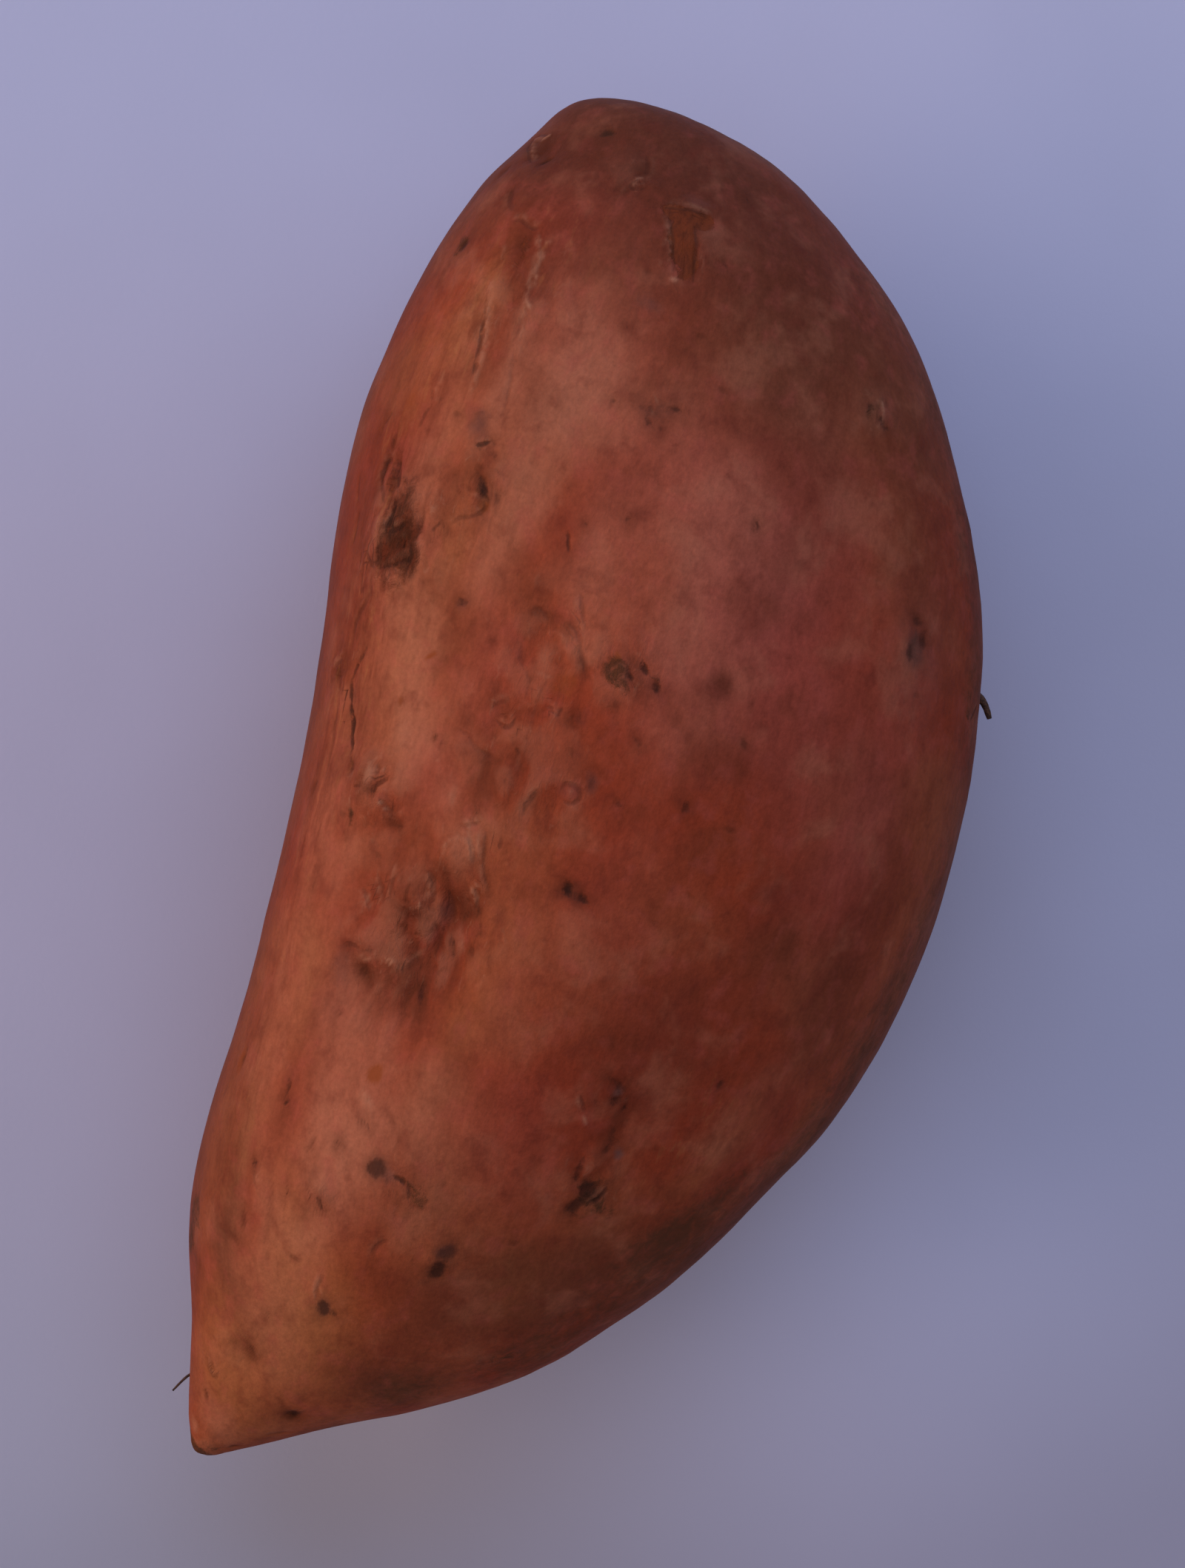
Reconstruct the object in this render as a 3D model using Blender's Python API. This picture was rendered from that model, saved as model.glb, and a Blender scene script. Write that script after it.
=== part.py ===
"""Sweet potato: one whole storage root, lying on its side.

Units are metres, +Z is up. The origin is on the surface that the root lies on, under the
middle of its box. +X runs along the root to the blunt crown end, where it grew from the
vine, and -X to the pointed tail. +Y is its straighter flank and -Y its bulging one.

The body is an ellipsoid whose breadth, depth and middle change along its length, with low
ribs, swellings and hollows added, and a small flat spot where it rests. Two broken rootlets
grow out of its flanks. It is all one piece.
"""

from collections import namedtuple

import bmesh
import bpy
import numpy as np
from mathutils import Vector

HALF_LENGTH = 0.081
FACES_PER_EDGE = 22
REST_HEIGHT = 0.0

# Where along the root (-1 tail, 1 crown), half breadth and half depth that the section is
# cut from, and how far the section's middle lies sideways and above the surface.
Station = namedtuple("Station", "along breadth depth sideways rise")
STATIONS = (
    Station(-1.00, 0.0125, 0.0113, 0.0222, 0.0264),
    Station(-0.93, 0.0200, 0.0179, 0.0180, 0.0273),
    Station(-0.81, 0.0283, 0.0244, 0.0113, 0.0287),
    Station(-0.68, 0.0329, 0.0284, 0.0074, 0.0300),
    Station(-0.44, 0.0350, 0.0310, 0.0015, 0.0311),
    Station(-0.15, 0.0365, 0.0324, -0.0025, 0.0318),
    Station(0.15, 0.0384, 0.0338, -0.0016, 0.0328),
    Station(0.45, 0.0416, 0.0352, 0.0025, 0.0334),
    Station(0.68, 0.0428, 0.0361, 0.0063, 0.0339),
    Station(0.86, 0.0439, 0.0372, 0.0101, 0.0346),
    Station(0.96, 0.0486, 0.0404, 0.0144, 0.0353),
    Station(1.00, 0.0560, 0.0455, 0.0172, 0.0358),
)

# Low ribs that run the length of the root: how many round it, their height as a share of
# the section, and how far they wind from one end to the other.
Rib = namedtuple("Rib", "count share turn phase")
RIBS = (
    Rib(3, 0.018, 0.6, 1.5),
    Rib(5, 0.012, -0.5, -1.6),
    Rib(8, 0.004, 0.9, 3.0),
)

# Swellings (height above 0) and hollows (below 0): the place of the middle, its reach along
# and across the root, and whether it is on the upper side (1) or the lower side (-1).
Swelling = namedtuple("Swelling", "name x y reach_x reach_y height side")
SWELLINGS = (
    Swelling("wide hollow", -0.0160, 0.0160, 0.0100, 0.0085, -0.0018, 1),
    Swelling("pit under the knob", -0.0125, 0.0130, 0.0045, 0.0028, -0.0013, 1),
    Swelling("pit at the hollow's rim", -0.0175, 0.0115, 0.0032, 0.0030, -0.0009, 1),
    Swelling("pit by the straight flank", -0.0232, 0.0215, 0.0034, 0.0042, -0.0013, 1),
    Swelling("shallow bowl", -0.0230, 0.0145, 0.0060, 0.0048, -0.0008, 1),
    Swelling("knob in the hollow", -0.0119, 0.0185, 0.0031, 0.0028, 0.0013, 1),
    Swelling("smooth pillow", -0.0070, 0.0145, 0.0040, 0.0030, 0.0010, 1),
    Swelling("star knob", -0.0018, 0.0255, 0.0034, 0.0034, 0.0010, 1),
    Swelling("puckered field", 0.0110, 0.0120, 0.0095, 0.0080, -0.0008, 1),
    Swelling("puckered oval", 0.0200, 0.0116, 0.0045, 0.0040, -0.0007, 1),
    Swelling("bark scar", 0.0245, 0.0315, 0.0070, 0.0042, 0.0007, 1),
    Swelling("saddle behind the crown", 0.0480, 0.0060, 0.0120, 0.0160, -0.0008, 1),
    Swelling("crown boss", 0.0660, 0.0150, 0.0090, 0.0120, 0.0008, 1),
    Swelling("crown dimple", 0.0715, 0.0280, 0.0030, 0.0026, -0.0007, 1),
    Swelling("tail dimple", -0.0679, 0.0204, 0.0030, 0.0026, -0.0009, 1),
    Swelling("flank hollow", -0.0380, -0.0110, 0.0180, 0.0080, -0.0012, 1),
    Swelling("bulging flank swell", 0.0120, -0.0240, 0.0240, 0.0090, 0.0008, 1),
    Swelling("resting pad", 0.0062, 0.0010, 0.0150, 0.0105, 0.0012, -1),
    Swelling("under groove", -0.0330, 0.0100, 0.0180, 0.0045, -0.0016, -1),
    Swelling("under eye near the crown", 0.0500, -0.0080, 0.0060, 0.0045, -0.0015, -1),
    Swelling("under eye near the tail", -0.0520, -0.0060, 0.0050, 0.0040, -0.0014, -1),
    Swelling("under knob", 0.0480, 0.0240, 0.0120, 0.0090, 0.0012, -1),
)

# Broken rootlets: the route of the middle, from inside the body out, and the thickness
# where it leaves the skin.
Rootlet = namedtuple("Rootlet", "name route thickness")
ROOTLETS = (
    Rootlet("stub on the bulging flank", (
        (0.0290, -0.0345, 0.0333),
        (0.0282, -0.0370, 0.0335),
        (0.0272, -0.0382, 0.0337),
        (0.0262, -0.0389, 0.0336),
    ), 0.0011),
    Rootlet("hair by the tail", (
        (-0.0705, 0.0225, 0.0276),
        (-0.0720, 0.0252, 0.0278),
        (-0.0732, 0.0265, 0.0279),
        (-0.0751, 0.0275, 0.0278),
    ), 0.0006),
)
ROOTLET_SIDES = 6
ROOTLET_TAPER = 0.6

SKIN_COLOUR = (0.40, 0.12, 0.07, 1.0)
SKIN_ROUGHNESS = 0.55


def clear_scene():
    for item in list(bpy.data.objects):
        bpy.data.objects.remove(item, do_unlink=True)


def smooth_curve(knots, values):
    """The natural cubic spline through the values, as a function."""
    knots, values = np.array(knots), np.array(values)
    gap = np.diff(knots)
    slope = np.diff(values) / gap
    system = np.eye(len(knots))
    bend_load = np.zeros(len(knots))
    for i in range(1, len(knots) - 1):
        system[i, i - 1:i + 2] = gap[i - 1], 2 * (gap[i - 1] + gap[i]), gap[i]
        bend_load[i] = 6 * (slope[i] - slope[i - 1])
    bend = np.linalg.solve(system, bend_load)

    def curve(at):
        i = np.clip(np.searchsorted(knots, at) - 1, 0, len(gap) - 1)
        after, before = at - knots[i], knots[i + 1] - at
        cubic = (bend[i] * before ** 3 + bend[i + 1] * after ** 3) / (6 * gap[i])
        start = (values[i] / gap[i] - bend[i] * gap[i] / 6) * before
        end = (values[i + 1] / gap[i] - bend[i + 1] * gap[i] / 6) * after
        return cubic + start + end

    return curve


ALONG = [station.along for station in STATIONS]
BREADTH = smooth_curve(ALONG, [station.breadth for station in STATIONS])
DEPTH = smooth_curve(ALONG, [station.depth for station in STATIONS])
SIDEWAYS = smooth_curve(ALONG, [station.sideways for station in STATIONS])
RISE = smooth_curve(ALONG, [station.rise for station in STATIONS])


def plain_points(way):
    """Points of the smooth body for unit directions, as an array of rows."""
    along, across, up = way.T
    return np.stack([
        HALF_LENGTH * along,
        SIDEWAYS(along) + BREADTH(along) * across,
        RISE(along) + DEPTH(along) * up,
    ], axis=1)


def outward(way):
    """Unit normals of the smooth body, near enough to push relief along."""
    along = way[:, 0]
    spread = np.stack([way[:, 0] / HALF_LENGTH, way[:, 1] / BREADTH(along),
                       way[:, 2] / DEPTH(along)], axis=1)
    return spread / np.linalg.norm(spread, axis=1, keepdims=True)


def rib_share(way):
    """How much the ribs widen the section; they fade out at both flanks and both ends."""
    angle = np.arctan2(way[:, 2], way[:, 1])
    total = np.zeros(len(way))
    for rib in RIBS:
        total += rib.share * np.cos(rib.count * angle + rib.turn * np.pi * way[:, 0] + rib.phase)
    return total * way[:, 2] ** 2


def swelling_middle(swelling):
    """The point of the smooth body above or below the swelling's place in plan."""
    along = swelling.x / HALF_LENGTH
    across = (swelling.y - SIDEWAYS(along)) / BREADTH(along)
    up = swelling.side * np.sqrt(max(1 - along ** 2 - across ** 2, 0.0))
    return plain_points(np.array([[along, across, up]]))[0]


def body_points(way):
    """Points of the finished body: ribs, swellings and hollows, and the flat resting spot."""
    plain = plain_points(way)
    normal = outward(way)
    middle = plain_points(np.stack([way[:, 0], 0 * way[:, 0], 0 * way[:, 0]], axis=1))
    points = middle + (plain - middle) * (1 + rib_share(way))[:, None]
    for swelling in SWELLINGS:
        offset = plain - swelling_middle(swelling)
        round_it = np.hypot(offset[:, 1], offset[:, 2])
        far = (offset[:, 0] / swelling.reach_x) ** 2 + (round_it / swelling.reach_y) ** 2
        points += normal * (swelling.height * np.exp(-far))[:, None]
    points[:, 2] = np.maximum(points[:, 2], REST_HEIGHT)
    return points


def round_cube(faces_per_edge):
    """A cube of even square faces, and the unit direction of each of its corners."""
    cube = bmesh.new()
    bmesh.ops.create_cube(cube, size=2.0)
    bmesh.ops.subdivide_edges(cube, edges=cube.edges[:], cuts=faces_per_edge - 1,
                              use_grid_fill=True)
    corners = np.array([vertex.co[:] for vertex in cube.verts])
    even = np.tan(corners * np.pi / 4)
    return cube, even / np.linalg.norm(even, axis=1, keepdims=True)


def make_body(name):
    cube, way = round_cube(FACES_PER_EDGE)
    for vertex, point in zip(cube.verts, body_points(way)):
        vertex.co = point
    bmesh.ops.triangulate(cube, faces=cube.faces[:], quad_method="SHORT_EDGE")
    bmesh.ops.recalc_face_normals(cube, faces=cube.faces[:])
    return finish(cube, name)


def make_rootlet(rootlet):
    """A tapering tube with closed ends along the rootlet's route."""
    tube = bmesh.new()
    route = [Vector(point) for point in rootlet.route]
    rings = []
    for i, point in enumerate(route):
        heading = (route[min(i + 1, len(route) - 1)] - route[max(i - 1, 0)]).normalized()
        side = heading.cross(Vector((0, 0, 1))).normalized()
        top = side.cross(heading)
        taper = 1 - (1 - ROOTLET_TAPER) * max(i - 1, 0) / (len(route) - 2)
        ring = []
        for turn in range(ROOTLET_SIDES):
            angle = 2 * np.pi * turn / ROOTLET_SIDES
            radius = rootlet.thickness / 2 * taper
            ring.append(tube.verts.new(point + radius * (side * np.cos(angle) + top * np.sin(angle))))
        rings.append(ring)
    for ring, after in zip(rings, rings[1:]):
        for turn in range(ROOTLET_SIDES):
            turned = (turn + 1) % ROOTLET_SIDES
            tube.faces.new((ring[turn], ring[turned], after[turned], after[turn]))
    tube.faces.new(rings[0])
    tube.faces.new(rings[-1])
    bmesh.ops.recalc_face_normals(tube, faces=tube.faces[:])
    return finish(tube, rootlet.name)


def finish(shape, name):
    mesh = bpy.data.meshes.new(name)
    shape.to_mesh(mesh)
    shape.free()
    thing = bpy.data.objects.new(name, mesh)
    bpy.context.scene.collection.objects.link(thing)
    return thing


def grow_on(body, rootlets):
    """Joins the rootlets to the body in one union, and removes what they were made from."""
    group = bpy.data.collections.new("rootlets")
    for rootlet in rootlets:
        group.objects.link(rootlet)
    union = body.modifiers.new("grow on", "BOOLEAN")
    union.operation = "UNION"
    union.operand_type = "COLLECTION"
    union.collection = group
    union.solver = "EXACT"
    bpy.context.view_layer.objects.active = body
    bpy.ops.object.modifier_apply(modifier=union.name)
    for rootlet in rootlets:
        bpy.data.objects.remove(rootlet, do_unlink=True)
    bpy.data.collections.remove(group)


def skin_material():
    skin = bpy.data.materials.new("sweet_potato_skin")
    skin.use_nodes = True
    shader = skin.node_tree.nodes["Principled BSDF"]
    shader.inputs["Base Color"].default_value = SKIN_COLOUR
    shader.inputs["Roughness"].default_value = SKIN_ROUGHNESS
    shader.inputs["Metallic"].default_value = 0.0
    return skin


def main():
    clear_scene()
    body = make_body("sweet_potato")
    grow_on(body, [make_rootlet(rootlet) for rootlet in ROOTLETS])
    body.data.materials.clear()
    body.data.materials.append(skin_material())
    body.data.shade_smooth()


main()
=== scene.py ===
"""The looks of one sweet potato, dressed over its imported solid.

Sizes in the tables are millimetres; the scene itself is in metres, +Z up. The origin is on
the surface the root lies on, +X runs to the blunt crown end and +Y to the straighter flank.
"""

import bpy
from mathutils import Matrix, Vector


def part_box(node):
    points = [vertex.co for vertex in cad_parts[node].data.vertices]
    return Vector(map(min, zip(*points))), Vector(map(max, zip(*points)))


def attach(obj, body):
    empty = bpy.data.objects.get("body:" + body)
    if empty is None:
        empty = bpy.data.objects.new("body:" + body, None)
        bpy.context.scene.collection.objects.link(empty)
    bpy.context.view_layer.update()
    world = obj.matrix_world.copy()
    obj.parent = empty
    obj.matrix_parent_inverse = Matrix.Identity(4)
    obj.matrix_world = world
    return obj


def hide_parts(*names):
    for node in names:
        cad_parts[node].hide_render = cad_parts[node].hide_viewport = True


bl_info = {
    "name": "Sweet Potato",
    "version": (1, 0, 0),
    "blender": (4, 5, 0),
    "location": "View3D > Sidebar > Sweet Potato",
    "description": "Grows the skin, rootlets and stage of a whole sweet potato",
    "category": "Add Mesh",
}

from collections import namedtuple

import bmesh
import bpy
import numpy as np
from bpy.props import (FloatProperty, FloatVectorProperty, IntProperty, PointerProperty)
from mathutils import Matrix, Vector, noise

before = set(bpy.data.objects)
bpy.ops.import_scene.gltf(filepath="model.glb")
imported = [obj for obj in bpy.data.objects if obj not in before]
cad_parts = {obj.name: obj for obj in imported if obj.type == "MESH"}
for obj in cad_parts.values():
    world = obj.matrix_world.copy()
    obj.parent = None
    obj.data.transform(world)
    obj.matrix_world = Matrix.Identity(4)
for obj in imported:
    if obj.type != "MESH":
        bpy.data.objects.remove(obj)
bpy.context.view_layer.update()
ROOT_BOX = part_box("sweet_potato")

MM = 0.001
HALF_LENGTH = round((ROOT_BOX[1].x - ROOT_BOX[0].x) / 2, 4)

# ---------------------------------------------------------------------------
# The body's form: the same stations, ribs and swellings as the solid has.

Station = namedtuple("Station", "along breadth depth sideways rise")
STATIONS = (
    Station(-1.00, 12.5, 11.3, 22.2, 26.4),
    Station(-0.93, 20.0, 17.9, 18.0, 27.3),
    Station(-0.81, 28.3, 24.4, 11.3, 28.7),
    Station(-0.68, 32.9, 28.4, 7.4, 30.0),
    Station(-0.44, 35.0, 31.0, 1.5, 31.1),
    Station(-0.15, 36.5, 32.4, -2.5, 31.8),
    Station(0.15, 38.4, 33.8, -1.6, 32.8),
    Station(0.45, 41.6, 35.2, 2.5, 33.4),
    Station(0.68, 42.8, 36.1, 6.3, 33.9),
    Station(0.86, 43.9, 37.2, 10.1, 34.6),
    Station(0.96, 48.6, 40.4, 14.4, 35.3),
    Station(1.00, 56.0, 45.5, 17.2, 35.8),
)

Rib = namedtuple("Rib", "count share turn phase")
RIBS = (
    Rib(3, 0.018, 0.6, 1.5),
    Rib(5, 0.012, -0.5, -1.6),
    Rib(8, 0.004, 0.9, 3.0),
)

Swelling = namedtuple("Swelling", "name x y reach_x reach_y height side")
SWELLINGS = [Swelling(*row) for row in (
    ("wide hollow", -16, 16, 10, 8.5, -1.8, 1),
    ("pit under the knob", -12.5, 13, 4.5, 2.8, -1.3, 1),
    ("pit at the hollow's rim", -17.5, 11.5, 3.2, 3, -0.9, 1),
    ("pit by the straight flank", -23.2, 21.5, 3.4, 4.2, -1.3, 1),
    ("shallow bowl", -23, 14.5, 6, 4.8, -0.8, 1),
    ("knob in the hollow", -11.9, 18.5, 3.1, 2.8, 1.3, 1),
    ("smooth pillow", -7, 14.5, 4, 3, 1, 1),
    ("star knob", -1.8, 25.5, 3.4, 3.4, 1, 1),
    ("puckered field", 11, 12, 9.5, 8, -0.8, 1),
    ("puckered oval", 20, 11.6, 4.5, 4, -0.7, 1),
    ("bark scar", 24.5, 31.5, 7, 4.2, 0.7, 1),
    ("saddle behind the crown", 48, 6, 12, 16, -0.8, 1),
    ("crown boss", 66, 15, 9, 12, 0.8, 1),
    ("crown dimple", 71.5, 28, 3, 2.6, -0.7, 1),
    ("tail dimple", -67.9, 20.4, 3, 2.6, -0.9, 1),
    ("flank hollow", -38, -11, 18, 8, -1.2, 1),
    ("bulging flank swell", 12, -24, 24, 9, 0.8, 1),
    ("resting pad", 6.2, 1, 15, 10.5, 1.2, -1),
    ("under groove", -33, 10, 18, 4.5, -1.6, -1),
    ("under eye near the crown", 50, -8, 6, 4.5, -1.5, -1),
    ("under eye near the tail", -52, -6, 5, 4, -1.4, -1),
    ("under knob", 48, 24, 12, 9, 1.2, -1),
)]

# ---------------------------------------------------------------------------
# Marks on the upper side, by their place in a plan drawn as seen from above: the eye, the
# height of the outline that the plan is true at, and the plan's middle, in millimetres.
EYE = (5.75, 2.05, 633.0)
OUTLINE_HEIGHT = 33.0
PLAN_MIDDLE = (5.35, 1.93)

# Dark spots and pits: half lengths along and across, the turn of the long way in degrees
# from +X towards +Y, how dark from 0 to 1, and how deep they are sunk.
Spot = namedtuple("Spot", "x y long wide turn dark deep")
SPOTS = [Spot(*row) for row in (
    # Tail
    (-80.6, 21.7, 1, 0.7, 35, 0.8, 0), (-73.5, 13.1, 0.8, 0.6, 60, 0.8, 0.4),
    (-67.9, 20, 0.7, 0.6, 0, 0.25, 0.2), (-63.4, 19.4, 0.35, 0.3, 20, 0.5, 0),
    (-60.8, 13.5, 1.1, 0.95, 10, 0.75, 0.2), (-61.1, 12.3, 0.6, 0.4, 60, 0.7, 0.1),
    (-52.9, 2.3, 1.1, 0.65, -25, 0.95, 0.3), (-50.7, 1.8, 1.35, 0.9, -20, 0.55, 0.2),
    (-47.3, 26.1, 0.5, 0.45, 0, 0.8, 0.2), (-49.2, 21.7, 0.45, 0.3, 10, 0.65, 0.1),
    (-48.9, 18.9, 0.65, 0.25, 5, 0.6, 0.1), (-49.4, 17.3, 0.65, 0.35, 25, 0.75, 0.2),
    (-54.6, 9.6, 0.4, 0.35, 0, 0.6, 0.1), (-42.3, 17.6, 0.4, 0.3, 0, 0.8, 0.1),
    (-39.8, 24.8, 0.5, 0.4, 0, 0.8, 0.2), (-38.3, 25, 1.6, 0.35, 4, 0.7, 0.2),
    (-39.5, 14.8, 0.6, 0.35, 75, 0.6, 0.1), (-43.8, 12.4, 1.15, 1.05, 0, 0.7, 0.1),
    (-44.7, 11, 0.4, 0.3, 60, 0.5, 0.1), (-36.2, 30.6, 1.1, 0.4, 5, 0.5, 0.2),
    # Hollow
    (-23, 22.1, 1, 0.6, 35, 0.25, 0.3), (-23.5, 14.4, 1.2, 0.25, 12, 0.6, 0.4),
    (-27.7, 22.7, 0.8, 0.35, 15, 0.35, 0.1), (-20.5, 22.1, 0.7, 0.22, 110, 0.6, 0.2),
    (-17, 12.6, 1, 0.28, 25, 0.7, 0.4), (-17.1, 9.7, 0.55, 0.4, -50, 0.65, 0.1),
    (-11.8, 14.4, 0.6, 0.25, 50, 0.6, 0.3), (-13.4, 14, 1.1, 0.5, 10, 0.2, 0.25),
    (-13.6, 11.9, 0.7, 0.35, -40, 0.5, 0.3), (-12.4, 10.3, 0.6, 0.35, 10, 0.55, 0.2),
    (-5.4, 22.4, 0.8, 0.35, 60, 0.4, 0.4), (-6.2, 26.9, 0.8, 0.5, -10, 0.35, 0.1),
    (-2.5, 26.3, 0.6, 0.3, 10, 0.75, 0.4), (-1.1, 28.3, 0.5, 0.4, 40, 1, 0.5),
    (-4.2, 31.7, 0.9, 0.2, -5, 0.95, 0.3),
    # Puckered middle
    (-7, 1.1, 0.85, 0.65, 60, 1, 0.3), (-7.5, -1, 0.75, 0.6, 60, 1, 0.2),
    (6.3, 11, 0.5, 0.3, 25, 0.85, 0.2), (8.2, 18.4, 0.22, 0.2, 0, 0.6, 0),
    (4.6, 20, 0.2, 0.2, 0, 0.6, 0), (5.4, 1.8, 0.6, 0.4, 15, 0.55, 0.1),
    (6.5, 1.2, 0.3, 0.3, 0, 0.4, 0), (4.1, -1.6, 0.8, 0.5, 70, 0.4, 0.1),
    (11.4, -1.6, 0.5, 0.25, 45, 0.75, 0.1), (5.9, -8.9, 0.6, 0.4, 30, 0.8, 0.1),
    (20.7, 22.3, 0.5, 0.65, 0, 0.8, 0.1), (17.7, 3.9, 0.3, 0.35, 0, 0.7, 0.1),
    (18.9, 3.9, 0.3, 0.25, 0, 0.8, 0.1), (18.4, 1.1, 1.1, 0.35, 45, 0.9, 0.3),
    (17.9, -1.8, 0.5, 0.4, 50, 1, 0.3), (28.5, 11.9, 0.5, 0.15, -10, 0.5, 0),
    (33.3, 11.4, 0.4, 0.3, 30, 0.8, 0.1), (35.4, 6.7, 0.4, 0.3, 0, 0.85, 0.1),
    # Bark scar and the leaf-shaped pit
    (24.8, 30.4, 0.5, 0.35, 80, 0.9, 0.4), (23.3, 29.4, 0.7, 0.4, 20, 0.6, 0.3),
    (6.6, 30.5, 0.6, 0.25, 15, 0.5, 0.1), (8.9, 33, 0.5, 0.35, 20, 0.7, 0.3),
    (34.3, 24, 1.3, 0.5, 45, 0.95, 0.5), (33, 23.2, 0.6, 0.35, 20, 0.7, 0.2),
    (39.4, 24.6, 0.6, 0.25, 70, 0.6, 0.1), (41.8, 26.6, 0.7, 0.22, 90, 0.5, 0.1),
    (32.2, 23.3, 0.7, 0.4, 0, 0.4, 0.1), (33.4, 21.9, 0.5, 0.25, 5, 0.55, 0.1),
    (36.1, 22.6, 0.75, 0.2, 85, 0.7, 0.1), (37.7, 23.6, 0.5, 0.22, 60, 0.65, 0.1),
    (36.6, 37, 1.1, 0.2, -10, 0.65, 0.2), (42.2, 31.5, 0.45, 0.2, 0, 0.4, 0),
    (38.8, -7.3, 0.5, 0.4, 0, 0.5, 0.1),
    # Towards the crown
    (47, 7.9, 0.6, 0.4, 30, 0.8, 0.1), (48.4, 8.6, 0.8, 0.35, 70, 0.8, 0.1),
    (49, 5.6, 1, 0.45, 80, 0.75, 0.2), (46.6, 6.6, 0.35, 0.3, 0, 0.6, 0.1),
    (48.1, 12.7, 0.25, 0.25, 0, 0.65, 0), (56.5, 13.6, 0.25, 0.25, 0, 0.75, 0),
    (59.5, 34.1, 0.8, 0.4, 5, 0.8, 0.2), (60, 25.4, 0.35, 0.25, 0, 0.45, 0.1),
    (66.2, 5, 0.5, 0.3, 30, 0.6, 0.1), (71.8, 27.9, 0.7, 0.4, -20, 0.95, 0.4),
    (73, 29.5, 0.6, 0.4, 10, 0.45, 0.2), (74.2, 4.8, 0.5, 0.3, 0, 0.4, 0),
    (76.7, 22.3, 0.8, 0.5, 70, 0.55, 0.2), (54.3, -17.6, 0.8, 0.4, 80, 0.85, 0.2),
    (55.1, -15.7, 0.8, 0.35, 10, 0.75, 0.1), (56.4, -17.2, 0.6, 0.25, 40, 0.6, 0.1),
    # Bulging side
    (30.2, -28.2, 1.1, 0.5, 10, 0.7, 0.2), (31.9, -29.2, 1.1, 0.5, 0, 0.7, 0.2),
    (34, -28, 0.5, 0.9, 0, 0.6, 0.1), (42.8, -30, 0.8, 0.4, 20, 0.5, 0.1),
    (14.7, -13.2, 0.6, 0.4, 0, 0.35, 0), (-7.7, -9.6, 0.4, 0.4, 0, 0.4, 0),
    (-23.1, -22.2, 0.6, 0.4, 10, 0.65, 0.1), (-41.6, -10.8, 1.5, 0.7, -20, 0.8, 0.3),
    (-39.3, -11.6, 1.4, 1.1, 0, 0.85, 0.3), (-38.4, -9.9, 0.9, 0.4, 30, 0.6, 0.1),
    (-40.3, -12.6, 1.1, 0.4, -20, 0.75, 0.3), (-34.3, -12.2, 0.7, 0.3, -10, 0.8, 0.3),
    (-33.1, -12.7, 0.8, 0.35, 85, 0.85, 0.3), (-32.1, -12.2, 0.6, 0.22, 5, 0.6, 0.1),
    (-29.4, -9.3, 0.5, 0.3, 60, 0.6, 0.1), (-28.4, -11.3, 0.7, 0.5, 50, 0.8, 0.3),
    (-26.7, -10.9, 0.95, 0.35, 65, 0.85, 0.3), (-28.9, -12.6, 0.6, 0.2, -5, 0.95, 0.3),
)]

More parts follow.
